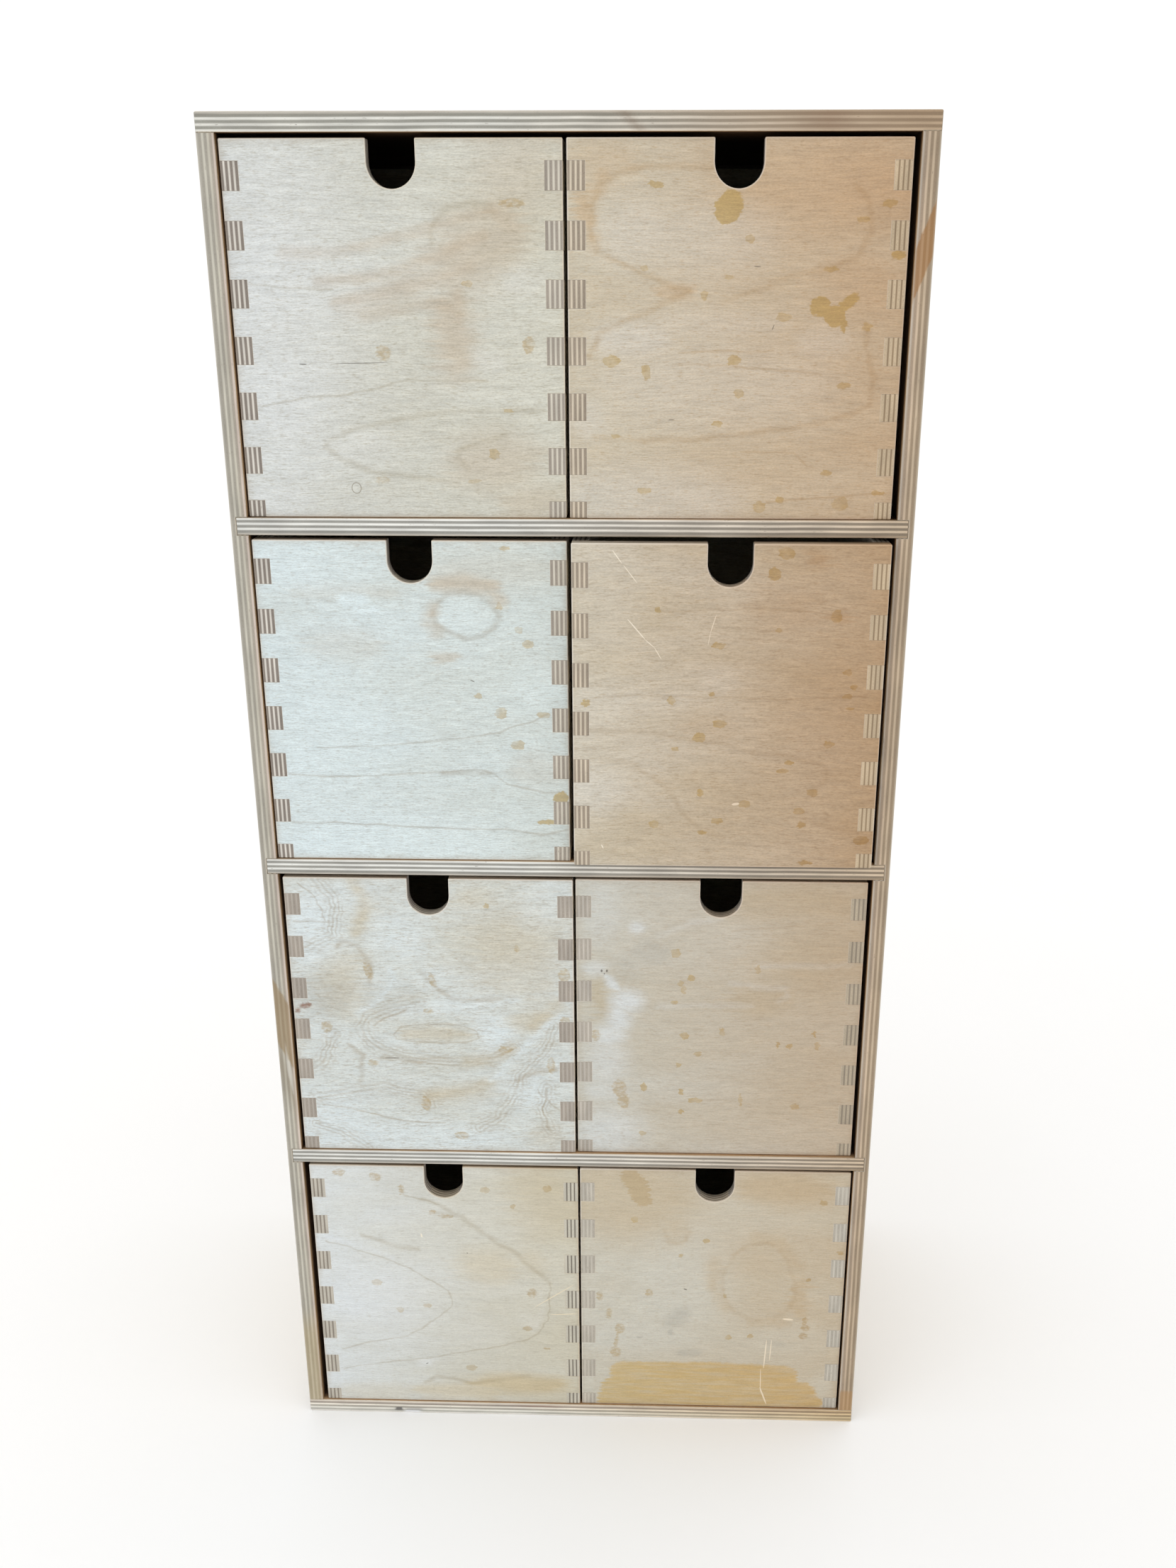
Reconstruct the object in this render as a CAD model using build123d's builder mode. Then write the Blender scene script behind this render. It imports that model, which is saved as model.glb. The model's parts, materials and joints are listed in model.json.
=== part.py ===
# Wooden drawer organizer: a plywood case with shelves, and two finger-jointed drawers in each bay.
# Millimetres, +Z up, the front faces -Y, and the origin is the centre of the base.
import os

from build123d import *

# Case
case_width = 360
case_depth = 250
case_ply = 9
bay_count = 4
bay_height = 182
shelf_housing = 6  # depth of the shelf grooves in the sides
joint_gap = 0.05  # glue line around a housed, fingered or drilled joint
overrun = 1  # how far a cut runs past an open edge

# Back panel and the wire staples that hold it
back_ply = 4
back_rebate = 6  # width of the ledge that the back panel lies on
staple_crown = 10
staple_wire = 1.2
staple_leg = 12
staple_proud = 0.3  # how far a crown stands out of the back

# Dowels between the sides and the top and bottom
dowel_diameter = 5
dowel_count = 2
dowel_spacing = 150
dowel_in_side = 16
dowel_in_panel = 6
hole_end_room = 0.5  # space left at the bottom of a dowel or staple hole

# Drawers
drawer_ply = 9
side_gap = 2  # play at each side of a drawer
head_gap = 2.4  # play above a drawer
slide_gap = 0.2  # between a drawer and the shelf that it slides on
closed_recess = 5  # front of a closed drawer, behind the edges of the case
rear_gap = 0.3  # closed drawer to the back panel
bottom_ply = 4
bottom_lift = 2  # bottom panel above the lower edge of the lowest full finger
bottom_groove = 4.5  # depth of the groove around the bottom panel
bottom_play = 0.5  # room for the bottom panel to move in its groove

# Finger joints at the drawer corners, counted between the two part fingers
finger_count = 12
top_finger = 10
bottom_finger = 8.6

# Finger notch in the top edge of a drawer front
notch_width = 24
notch_depth = 22.5

# How each drawer lies at rest: forward of closed, as a share of the closed recess,
# and to the right of the middle of its play, as a share of the side gap
rest_pull_shares = {
    "1a": 0.6, "1b": 0.6, "2a": 0.75, "2b": 2.1,
    "3a": 0.75, "3b": 0.5, "4a": 0.75, "4b": 0.65,
}
rest_shift_shares = {
    "1a": -0.5, "1b": -0.6, "2a": -0.5, "2b": -0.25,
    "3a": 0.1, "3b": -0.2, "4a": 0.7, "4b": 0.35,
}

# Sizes that follow from those above
bay_pitch = bay_height + case_ply
case_height = bay_count * bay_pitch + case_ply
inner_width = case_width - 2 * case_ply
side_height = case_height - 2 * case_ply
front_y = -case_depth / 2
rear_y = case_depth / 2
rebate_y = rear_y - back_ply
shelf_levels = [bay_pitch * bay for bay in range(1, bay_count)]
dowel_hole_radius = dowel_diameter / 2 + joint_gap
staple_hole = staple_wire + 2 * joint_gap
staple_seat = staple_wire - staple_proud  # depth of a crown in the back
staple_hole_depth = staple_seat + staple_leg - back_ply + hole_end_room

drawer_width = (inner_width - 3 * side_gap) / 2
drawer_height = bay_height - head_gap - slide_gap
drawer_depth = case_depth - back_ply - closed_recess - rear_gap
drawer_inner_width = drawer_width - 2 * drawer_ply
drawer_inner_depth = drawer_depth - 2 * drawer_ply
finger_height = (drawer_height - top_finger - bottom_finger) / finger_count
groove_level = bottom_finger + bottom_lift
groove_height = bottom_ply + 2 * joint_gap
bottom_tongue = bottom_groove - bottom_play

# Fingers as (lower edge, height): the side pieces have the lowest one, the front and back the highest
side_fingers = [(0, bottom_finger)]
end_fingers = []
for pair in range(finger_count // 2):
    pair_level = bottom_finger + 2 * pair * finger_height
    end_fingers.append((pair_level, finger_height))
    side_fingers.append((pair_level + finger_height, finger_height))
end_fingers.append((drawer_height - top_finger, top_finger))

os.makedirs("parts", exist_ok=True)


def front_plane(x, y, z):
    """A plane that faces the front, with its own axes along X and Z."""
    return Plane(origin=(x, y, z), x_dir=(1, 0, 0), z_dir=(0, -1, 0))


def side_plane(x, y, z):
    """A plane that faces the right, with its own axes along Y and Z."""
    return Plane(origin=(x, y, z), x_dir=(0, 1, 0), z_dir=(1, 0, 0))


def save(piece, label):
    """Label a finished piece and write it to its own file."""
    piece.part.label = label
    export_step(piece.part, f"parts/{label}.step")


def upright_staples():
    """Middles of the staples into the sides, one to a bay, as (x, z) on the back."""
    side_x = inner_width / 2 + back_rebate / 2
    bay_middles = [case_ply + bay_height / 2 + bay_pitch * bay for bay in range(bay_count)]
    return [(hand * side_x, level) for hand in (-1, 1) for level in bay_middles]


def level_staples():
    """Middles of the staples into the top, bottom and shelves, two to each."""
    low_z = case_ply - back_rebate / 2
    levels = [low_z] + [level + case_ply / 2 for level in shelf_levels] + [case_height - low_z]
    return [(hand * inner_width / 4, level) for hand in (-1, 1) for level in levels]


def staple_legs():
    """Middles of all the staples' legs, one at each end of a crown."""
    reach = (staple_crown - staple_wire) / 2
    ends = [(x, z + way * reach) for x, z in upright_staples() for way in (-1, 1)]
    return ends + [(x + way * reach, z) for x, z in level_staples() for way in (-1, 1)]


def crowns(width_gap):
    """Sketch every staple's crown, wider by a gap all round."""
    length = staple_crown + 2 * width_gap
    width = staple_wire + 2 * width_gap
    with Locations(*upright_staples()):
        Rectangle(width, length)
    with Locations(*level_staples()):
        Rectangle(length, width)


def case_panel(label, outer_z, way):
    """Top or bottom of the case; way is the direction of its thickness from its outer face."""
    inner_z = outer_z + way * case_ply
    with BuildPart() as panel:
        with BuildSketch(Plane.XY.offset(outer_z)):
            Rectangle(case_width, case_depth)
        extrude(amount=way * case_ply)
        # Rebate for the back panel
        with BuildSketch(Plane.XY.offset(inner_z)):
            with Locations((0, rebate_y)):
                Rectangle(inner_width + 2 * back_rebate, back_ply + overrun, align=(Align.CENTER, Align.MIN))
        extrude(amount=-way * back_rebate, mode=Mode.SUBTRACT)
        # Dowel holes
        with BuildSketch(Plane.XY.offset(inner_z)):
            with GridLocations(case_width - case_ply, dowel_spacing, 2, dowel_count):
                Circle(dowel_hole_radius)
        extrude(amount=-way * (dowel_in_panel + hole_end_room), mode=Mode.SUBTRACT)
        # Holes of the staples' legs
        with BuildSketch(front_plane(0, rebate_y, 0)):
            with Locations(*staple_legs()):
                Rectangle(staple_hole, staple_hole)
        extrude(amount=staple_hole_depth, mode=Mode.SUBTRACT)
    save(panel, label)


def case_side(label, hand):
    """Side of the case; hand is -1 on the left and 1 on the right."""
    inner_x = hand * inner_width / 2
    with BuildPart() as side:
        with BuildSketch(side_plane(inner_x, front_y, case_ply)):
            Rectangle(case_depth, side_height, align=(Align.MIN, Align.MIN))
        extrude(amount=hand * case_ply)
        # Housings for the shelves
        with BuildSketch(side_plane(inner_x, front_y, 0)):
            with Locations(*[(0, level - joint_gap) for level in shelf_levels]):
                Rectangle(case_depth, case_ply + 2 * joint_gap, align=(Align.MIN, Align.MIN))
        extrude(amount=hand * shelf_housing, mode=Mode.SUBTRACT)
        # Rebate for the back panel
        with BuildSketch(side_plane(inner_x, rebate_y, case_ply)):
            Rectangle(back_ply + overrun, side_height, align=(Align.MIN, Align.MIN))
        extrude(amount=hand * back_rebate, mode=Mode.SUBTRACT)
        # Dowel holes in both ends
        for end_z, way in ((case_ply, 1), (case_height - case_ply, -1)):
            with BuildSketch(Plane.XY.offset(end_z)):
                with GridLocations(case_width - case_ply, dowel_spacing, 2, dowel_count):
                    Circle(dowel_hole_radius)
            extrude(amount=way * (dowel_in_side + hole_end_room), mode=Mode.SUBTRACT)
        # Holes of the staples' legs
        with BuildSketch(front_plane(0, rebate_y, 0)):
            with Locations(*staple_legs()):
                Rectangle(staple_hole, staple_hole)
        extrude(amount=staple_hole_depth, mode=Mode.SUBTRACT)
    save(side, label)


def shelf(label, level):
    """Shelf with its ends in the housings of the sides and its rear edge against the back panel."""
    with BuildPart() as board:
        with BuildSketch(Plane.XY.offset(level)):
            with Locations((0, front_y)):
                shelf_length = inner_width + 2 * (shelf_housing - joint_gap)
                Rectangle(shelf_length, case_depth - back_ply, align=(Align.CENTER, Align.MIN))
        extrude(amount=case_ply)
        # Holes of the staples' legs
        with BuildSketch(front_plane(0, rebate_y, 0)):
            with Locations(*staple_legs()):
                Rectangle(staple_hole, staple_hole)
        extrude(amount=staple_hole_depth, mode=Mode.SUBTRACT)
    save(board, label)


def drawer_end(label, x, outer_y, z, way, notched):
    """Front or back of a drawer; way is the direction of its thickness from its outer face."""
    with BuildPart() as end:
        with BuildSketch(front_plane(x, outer_y, z)):
            Rectangle(drawer_width, drawer_height, align=(Align.CENTER, Align.MIN))
            # Slots for the fingers of the sides
            for low, height in side_fingers:
                with Locations((-drawer_width / 2, low), (drawer_width / 2, low)):
                    Rectangle(2 * drawer_ply, height, align=(Align.CENTER, Align.MIN), mode=Mode.SUBTRACT)
            if notched:
                half_notch = notch_width / 2
                notch_low = drawer_height - notch_depth
                with BuildLine():
                    Polyline((-half_notch, notch_low + half_notch), (-half_notch, drawer_height + overrun),
                             (half_notch, drawer_height + overrun), (half_notch, notch_low + half_notch))
                    ThreePointArc((half_notch, notch_low + half_notch), (0, notch_low),
                                  (-half_notch, notch_low + half_notch))
                make_face(mode=Mode.SUBTRACT)
        extrude(amount=-way * drawer_ply)
        # Stopped groove for the bottom panel, hidden behind the lowest full finger
        with BuildSketch(front_plane(x, outer_y + way * drawer_ply, z)):
            with Locations((0, groove_level)):
                groove_length = drawer_inner_width + 2 * bottom_groove
                Rectangle(groove_length, groove_height, align=(Align.CENTER, Align.MIN))
        extrude(amount=way * bottom_groove, mode=Mode.SUBTRACT)
    save(end, label)


def drawer_side(label, inner_x, front, z, hand):
    """Side of a drawer; hand is -1 on the left and 1 on the right."""
    with BuildPart() as side:
        with BuildSketch(side_plane(inner_x, front, z)):
            Rectangle(drawer_depth, drawer_height, align=(Align.MIN, Align.MIN))
            # Sockets for the fingers of the front and back, with a glue line at each flank
            for low, height in end_fingers:
                with Locations((0, low - joint_gap), (drawer_depth, low - joint_gap)):
                    Rectangle(2 * drawer_ply, height + 2 * joint_gap,
                              align=(Align.CENTER, Align.MIN), mode=Mode.SUBTRACT)
        extrude(amount=hand * drawer_ply)
        # Groove for the bottom panel
        with BuildSketch(side_plane(inner_x, front + drawer_ply, z)):
            with Locations((0, groove_level)):
                Rectangle(drawer_inner_depth, groove_height, align=(Align.MIN, Align.MIN))
        extrude(amount=hand * bottom_groove, mode=Mode.SUBTRACT)
    save(side, label)


def drawer_bottom(label, x, front, z):
    """Bottom panel of a drawer, with its edges in the grooves of the four walls."""
    with BuildPart() as bottom:
        with BuildSketch(Plane(origin=(x, front + drawer_depth / 2, z + groove_level + joint_gap))):
            Rectangle(drawer_inner_width + 2 * bottom_tongue, drawer_inner_depth + 2 * bottom_tongue)
        extrude(amount=bottom_ply)
    save(bottom, label)


# Case
case_panel("case_bottom", 0, 1)
case_panel("case_top", case_height, -1)
case_side("case_left_side", -1)
case_side("case_right_side", 1)
for shelf_name, shelf_level in zip(("lower_shelf", "middle_shelf", "upper_shelf"), shelf_levels):
    shelf(shelf_name, shelf_level)

with BuildPart() as back_panel:
    with BuildSketch(front_plane(0, rear_y, case_height / 2)):
        back_edge = back_rebate - joint_gap
        Rectangle(inner_width + 2 * back_edge, side_height + 2 * back_edge)
    extrude(amount=back_ply)
    # Seats of the staples' crowns, and the holes of their legs
    with BuildSketch(front_plane(0, rear_y, 0)):
        crowns(joint_gap)
    extrude(amount=staple_seat, mode=Mode.SUBTRACT)
    with BuildSketch(front_plane(0, rear_y, 0)):
        with Locations(*staple_legs()):
            Rectangle(staple_hole, staple_hole)
    extrude(amount=back_ply, mode=Mode.SUBTRACT)
save(back_panel, "back_panel")

with BuildPart() as back_staples:
    with BuildSketch(front_plane(0, rear_y + staple_proud, 0)):
        crowns(0)
    extrude(amount=staple_wire)
    with BuildSketch(front_plane(0, rear_y - staple_seat, 0)):
        with Locations(*staple_legs()):
            Rectangle(staple_wire, staple_wire)
    extrude(amount=staple_leg)
save(back_staples, "back_staples")

with BuildPart() as case_dowels:
    for joint_z, into_side in ((case_ply, 1), (case_height - case_ply, -1)):
        with BuildSketch(Plane.XY.offset(joint_z - into_side * dowel_in_panel)):
            with GridLocations(case_width - case_ply, dowel_spacing, 2, dowel_count):
                Circle(dowel_diameter / 2)
        extrude(amount=into_side * (dowel_in_panel + dowel_in_side))
save(case_dowels, "case_dowels")

# Drawers, in rows from the top and columns from the left
for row in range(1, bay_count + 1):
    for column, hand in (("a", -1), ("b", 1)):
        place = f"{row}{column}"
        name = f"drawer_{place}"
        shift = side_gap * rest_shift_shares.get(place, 0)
        drawer_x = hand * (drawer_width + side_gap) / 2 + shift
        drawer_y = front_y + closed_recess * (1 - rest_pull_shares.get(place, 0))
        drawer_z = case_ply + bay_pitch * (bay_count - row) + slide_gap
        wall_x = drawer_inner_width / 2
        drawer_end(f"{name}_front", drawer_x, drawer_y, drawer_z, 1, notched=True)
        drawer_end(f"{name}_back", drawer_x, drawer_y + drawer_depth, drawer_z, -1, notched=False)
        drawer_side(f"{name}_left_side", drawer_x - wall_x, drawer_y, drawer_z, -1)
        drawer_side(f"{name}_right_side", drawer_x + wall_x, drawer_y, drawer_z, 1)
        drawer_bottom(f"{name}_bottom", drawer_x, drawer_y, drawer_z)
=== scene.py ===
import json
import math
from functools import partial

import bmesh
import bpy
from mathutils import Matrix, Vector

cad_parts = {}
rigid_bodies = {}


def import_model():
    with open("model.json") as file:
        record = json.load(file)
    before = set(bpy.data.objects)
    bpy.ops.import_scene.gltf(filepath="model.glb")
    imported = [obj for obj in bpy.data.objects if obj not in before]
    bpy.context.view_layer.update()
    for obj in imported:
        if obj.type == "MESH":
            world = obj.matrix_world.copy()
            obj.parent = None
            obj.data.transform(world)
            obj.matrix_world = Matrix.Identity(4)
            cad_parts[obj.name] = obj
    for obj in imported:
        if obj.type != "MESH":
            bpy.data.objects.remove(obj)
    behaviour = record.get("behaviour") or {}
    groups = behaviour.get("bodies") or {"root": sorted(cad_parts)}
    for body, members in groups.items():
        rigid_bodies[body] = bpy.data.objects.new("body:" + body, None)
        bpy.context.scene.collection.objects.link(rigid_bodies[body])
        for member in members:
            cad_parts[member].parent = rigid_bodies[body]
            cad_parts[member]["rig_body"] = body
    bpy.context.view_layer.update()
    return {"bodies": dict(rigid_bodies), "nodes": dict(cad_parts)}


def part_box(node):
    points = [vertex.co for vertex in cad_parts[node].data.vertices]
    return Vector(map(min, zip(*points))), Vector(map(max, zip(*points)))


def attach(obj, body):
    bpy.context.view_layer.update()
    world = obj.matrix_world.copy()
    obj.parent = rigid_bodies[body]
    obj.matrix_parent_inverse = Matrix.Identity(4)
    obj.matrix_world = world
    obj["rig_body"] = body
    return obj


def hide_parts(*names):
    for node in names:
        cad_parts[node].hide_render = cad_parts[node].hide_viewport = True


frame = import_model()
mm = 0.001
print("frame loaded, with", len(frame["nodes"]), "nodes")


def tint(hexCode):
    # sRGB hex to the linear colour that a socket takes
    parts = [int(hexCode[at:at + 2], 16) / 255 for at in (1, 3, 5)]
    return [p / 12.92 if p <= 0.04045 else ((p + 0.055) / 1.055) ** 2.4 for p in parts] + [1.0]


modes = {"Math": "operation", "VectorMath": "operation", "MapRange": "interpolation_type", "Mix": "data_type"}


def put(tree, kind, feeds=(), give=0, **settings):
    # adds a node with its settings, and links or values for its inputs; the kind can end in the node's mode
    kind, _, mode = kind.partition(" ")
    made = tree.nodes.new(kind if kind.startswith(("Geometry", "Function", "Node")) else "ShaderNode" + kind)
    if mode:
        settings[modes[kind]] = mode
    for name, value in settings.items():
        setattr(made, name, value)
    for socket, value in feeds.items() if isinstance(feeds, dict) else enumerate(feeds):
        if isinstance(value, bpy.types.NodeSocket):
            tree.links.new(value, made.inputs[socket])
        else:
            made.inputs[socket].default_value = value
    return made.outputs[give] if made.outputs else made


def newGroup(name, kind, inputs, outputs):
    # an empty node group with its sockets, what adds nodes to it, and what it is given
    group = bpy.data.node_groups.new(name, kind)
    for way, sockets in (("INPUT", inputs), ("OUTPUT", outputs)):
        for label, socketKind in sockets.items():
            group.interface.new_socket(label, in_out=way, socket_type="NodeSocket" + socketKind)
    return group, partial(put, group), put(group, "NodeGroupInput").node.outputs


def newMaterial(name):
    # an empty material, what adds nodes to it, and its shader's inputs
    material = bpy.data.materials.new(name)
    material.use_nodes = True
    tree = material.node_tree
    return material, partial(put, tree), tree.nodes["Principled BSDF"].inputs


# signed distance in mm from a turned ellipse: every stain and scratch starts from it
outlineGroup, add, given = newGroup(
    "mark outline", "ShaderNodeTree",
    {"Coord": "Vector", "Place": "Vector", "Size": "Vector", "Turn": "Float"}, {"Distance": "Float"})
around = add("VectorMath SUBTRACT", (given["Coord"], given["Place"]))
turned = add("VectorRotate", {"Vector": around, "Angle": given["Turn"]}, rotation_type="Z_AXIS", invert=True)
scaled = add("VectorMath DIVIDE", (turned, given["Size"]))
steeper = add("VectorMath DIVIDE", (scaled, given["Size"]))
reach = add("VectorMath LENGTH", (scaled,), give="Value")
slope = add("VectorMath LENGTH", (steeper,), give="Value")
beyond = add("Math SUBTRACT", (reach, 1.0))
perSlope = add("Math DIVIDE", (reach, slope))
add("NodeGroupOutput", (add("Math MULTIPLY", (beyond, perSlope)),))

# distance in mm from one straight part of a drawn stroke, less its half width
strokeGroup, add, given = newGroup(
    "stroke outline", "ShaderNodeTree",
    {"Coord": "Vector", "Start": "Vector", "Run": "Vector", "Per": "Vector", "Wide": "Float"}, {"Distance": "Float"})
around = add("VectorMath SUBTRACT", (given["Coord"], given["Start"]))
share = add("VectorMath DOT_PRODUCT", (around, given["Per"]), give="Value")
share = add("Math MAXIMUM", (share, 0.0))
share = add("Math MINIMUM", (share, 1.0))
foot = add("VectorMath SCALE", {0: given["Run"], "Scale": share})
beyond = add("VectorMath DISTANCE", (around, foot), give="Value")
add("NodeGroupOutput", (add("Math SUBTRACT", (beyond, given["Wide"])),))

# noise with its grain given in mm along, across and through the wood
grainGroup, add, given = newGroup(
    "wood noise", "ShaderNodeTree",
    {"Coord": "Vector", "Size": "Vector", "Detail": "Float", "Rough": "Float"}, {"Value": "Float", "Stray": "Vector"})
perSize = add("VectorMath DIVIDE", (given["Coord"], given["Size"]))
cells = add("TexNoise", {"Vector": perSize, "Scale": 1.0, "Detail": given["Detail"],
                         "Roughness": given["Rough"]}).node.outputs
stray = add("VectorMath MULTIPLY_ADD", (cells["Color"], (2, 2, 2), (-1, -1, -1)))
add("NodeGroupOutput", (cells[0], stray))


def folded(add, kind, values):
    # several values brought to one, two at a time
    found = values[0]
    for value in values[1:]:
        found = add(kind, (found, value))
    return found


def nearest(add, coord, shapes):
    # distance to the nearest of several marks, less than nothing inside one
    return folded(add, "Math MINIMUM", [
        add("Group", {"Coord": coord, "Place": (across, up, 0), "Size": (long, wide, 1),
                      "Turn": math.radians(sum(turn))}, node_tree=outlineGroup)
        for across, up, long, wide, *turn in shapes])


softShare = 0.8  # of a patch's half width, over which it fades


def softPatches(add, coord, shapes):
    # soft-edged patches, each with its own strength
    patches = []
    for across, up, long, wide, strength, *turn in shapes:
        fade = softShare * min(long, wide)
        gap = nearest(add, coord, [(across, up, long, wide, *turn)])
        patches.append(add("MapRange SMOOTHSTEP", (gap, fade, -fade, 0.0, strength)))
    return folded(add, "Math MAXIMUM", patches)


def strokeGap(add, coord, strokes):
    # distance to the nearest of several drawn strokes
    gaps = []
    for wide, *route in strokes:
        points = [Vector((*point, 0)) for point in zip(route[::2], route[1::2])]
        for start, end in zip(points, points[1:]):
            run = end - start
            gaps.append(add("Group", {"Coord": coord, "Start": start, "Run": run, "Per": run / run.length_squared,
                                      "Wide": wide}, node_tree=strokeGroup))
    return folded(add, "Math MINIMUM", gaps)


def layered(add, colour, layers):
    # tones laid over a colour in turn, each by its share
    for share, tone in layers:
        tone = tint(tone) if isinstance(tone, str) else tone
        colour = add("Mix RGBA", {0: share, 6: colour, 7: tone}, give=2)
    return colour


# Noises in the wood: mm along the grain, across it and through the panel, and the coordinates they lie on. Some move
# other coordinates, with their reach in mm, and some show, where a span of the noise is stretched to the shares it
# gives, and a name is one of the look's shares
patterns = {
    "swirl": {"size": (150, 60, 60), "reach": (0, 8, 0), "moves": "place", "detail": 2},
    "figure": {"size": (330, 75, 75), "reach": (0, 60, 0), "moves": "swirl", "detail": 2},
    "broad": {"size": (38, 17, 17), "reach": (9, 4, 0), "moves": "flat"},
    "streak": {"size": (24, 1.8, 1.8), "reach": (13, 0.9, 0), "moves": "broad", "span": (0.36, 0.6), "give": (0.62, 1)},
    "wander": {"size": (13, 6, 6), "reach": (3, 1.3, 0), "moves": "flat"},
    "ragged": {"size": (2.6, 1.5, 1.5), "reach": (2.3, 1.6, 0), "moves": "flat", "detail": 4},
    "smear": {"size": (16, 1.5, 1.5), "reach": (5, 0.6, 0), "moves": "ragged"},
    # birch fibres and pores are finer, drawn as coarse as the render can show
    "fibre": {"size": (15, 0.8, 0.8), "on": "swirl", "span": (0.3, 0.7), "detail": 4, "rough": 0.7},
    "pores": {"size": (3.6, 0.6, 0.6), "on": "swirl", "span": (0.5, 0.74), "give": (0, "poreShare"), "detail": 2,
              "rough": 0.6},
    "fuzz": {"size": (1.3, 0.6, 0.6), "span": (0.3, 0.7), "detail": 2, "rough": 0.6},
    "shimmer": {"size": (11, 2.6, 2.6), "on": "swirl", "span": (0.3, 0.7)},
    "cloud": {"size": (90, 32, 32), "on": "swirl", "span": (0.38, 0.66), "give": (0, "cloudShare")},
    "ringWear": {"size": (24, 5, 5), "span": (0.36, 0.62), "give": (0.1, 1)},
    "lineWear": {"size": (24, 5, 5), "span": (0.36, 0.62), "give": (0.55, 1)},
    "spotWear": {"size": (9, 9, 9), "span": (0.35, 0.6), "give": (0.45, 1), "detail": 2},
    "tintWear": {"size": (2.6, 1.5, 1.5), "span": (0.38, 0.58), "give": (0.3, 1)},
    "rimPatch": {"size": (14, 14, 14)},
    "edgePatch": {"size": (26, 26, 5), "span": (0.3, 0.7), "give": (0.86, 1.1)},
    "edgeFibre": {"size": (16, 0.7, 0.35), "on": "edge", "span": (0.32, 0.68), "rough": 0.7},
    "edgeSpeck": {"size": (3.2, 0.8, 0.6), "on": "edge", "span": (0.66, 0.74), "give": (0, 0.55), "detail": 2,
                  "rough": 0.6},
}

# Patches and lines of the figure: which coordinates they lie on and which tone of the wood they take, and for lines
# the width in mm, the share of the tone and mm between nested lines
figureKinds = {
    "clouds": {"on": "streak", "tone": "cloud"},
    "pales": {"on": "wander", "tone": "white"},
    "fine": {"on": "wander", "tone": "ring", "width": 1.0, "share": 0.5},
    "soft": {"on": "wander", "tone": "ring", "width": 2.8, "share": 0.44},
    "rills": {"on": "wander", "tone": "ring", "width": 9.0, "share": 0.48, "waves": 2.7},
    "bands": {"on": "wander", "tone": "cloud", "width": 5.0, "share": 0.5},
    "broad": {"on": "wander", "tone": "cloud", "width": 7.0, "share": 0.6},
    "paler": {"on": "wander", "tone": "white", "width": 3.4, "share": 0.6},
    "smudges": {"on": "ragged", "tone": "smudge"},
}

# Marks: tones, shares inside and at the rim, and the edge's width in mm; stains lie under the fibres, scratches over
markKinds = {
    "spots": {"on": "ragged", "tone": "#ac9048", "fill": 0.58, "rim": 0.42, "edge": 0.45, "wear": "spotWear"},
    "blots": {"on": "ragged", "tone": "#af9448", "fill": 0.72, "rim": 0.24, "edge": 0.5},
    "tints": {"on": "ragged", "tone": "#a58743", "fill": 0.5, "rim": 0.22, "edge": 0.7, "wear": "tintWear"},
    "tides": {"on": "smear", "tone": "#a88b50", "fill": 0.4, "rim": 0.2, "edge": 1.0},
    "washes": {"on": "smear", "tone": "#c5a864", "fill": 0.76, "rim": 0.12, "edge": 1.3, "wear": "streak"},
    "knots": {"on": "ragged", "tone": "#7b4a2c", "fill": 0.8, "rim": 0.3, "edge": 1.2},
    "rings": {"on": "flat", "tone": "#857c6b", "fill": 0.0, "rim": 0.8, "edge": 0.4},
    "scratches": {"on": "flat", "tone": "#f4eddc", "fill": 0.75, "rim": 0.0, "edge": 0.18, "over": True},
    "marks": {"on": "flat", "tone": "#4c443a", "fill": 0.75, "rim": 0.0, "edge": 0.18, "over": True},
}

# Shares of the finer looks, and spans in mm or in how squarely a surface faces
finish = {
    "lotStep": (317, 211, 97),  # mm in the wood from one lot to the next
    "plyWave": (45, 45, 45), "waveShare": 0.06, "plyMiddle": 0.47, "plyBlur": 0.2, "stainBlur": 0.5,
    "ringPower": 6.0, "paceSpan": (0.3, 0.7), "paces": (0.7, 1.3), "swing": (-0.6, 1.0, 0.15, 1.0),
    "fibreParts": {"fibre": 1.0, "fuzz": 0.8, "shimmer": 0.5}, "edgeGleam": 0.4,
    "grimeStray": 9.0, "grimeSpan": (8.5, 4.0), "edgeSpan": (0.93, 0.6), "arrisSpan": (0.98, 0.9),
    "arrisEnd": (0.2, 0.36), "endYellow": 0.3, "deepSpan": (0.5, 7.0), "roughSwing": 0.06, "poreRelief": 0.6,
    "reliefDepth": 0.25,
}

# What each piece of wood stores on its mesh, and the output that reads it
woodData = {"plank": "Vector", "half": "Vector", "cut": "Vector", "lot": "Fac", "inside": "Fac", "deep": "Fac",
            "aside": "Fac"}


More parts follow.
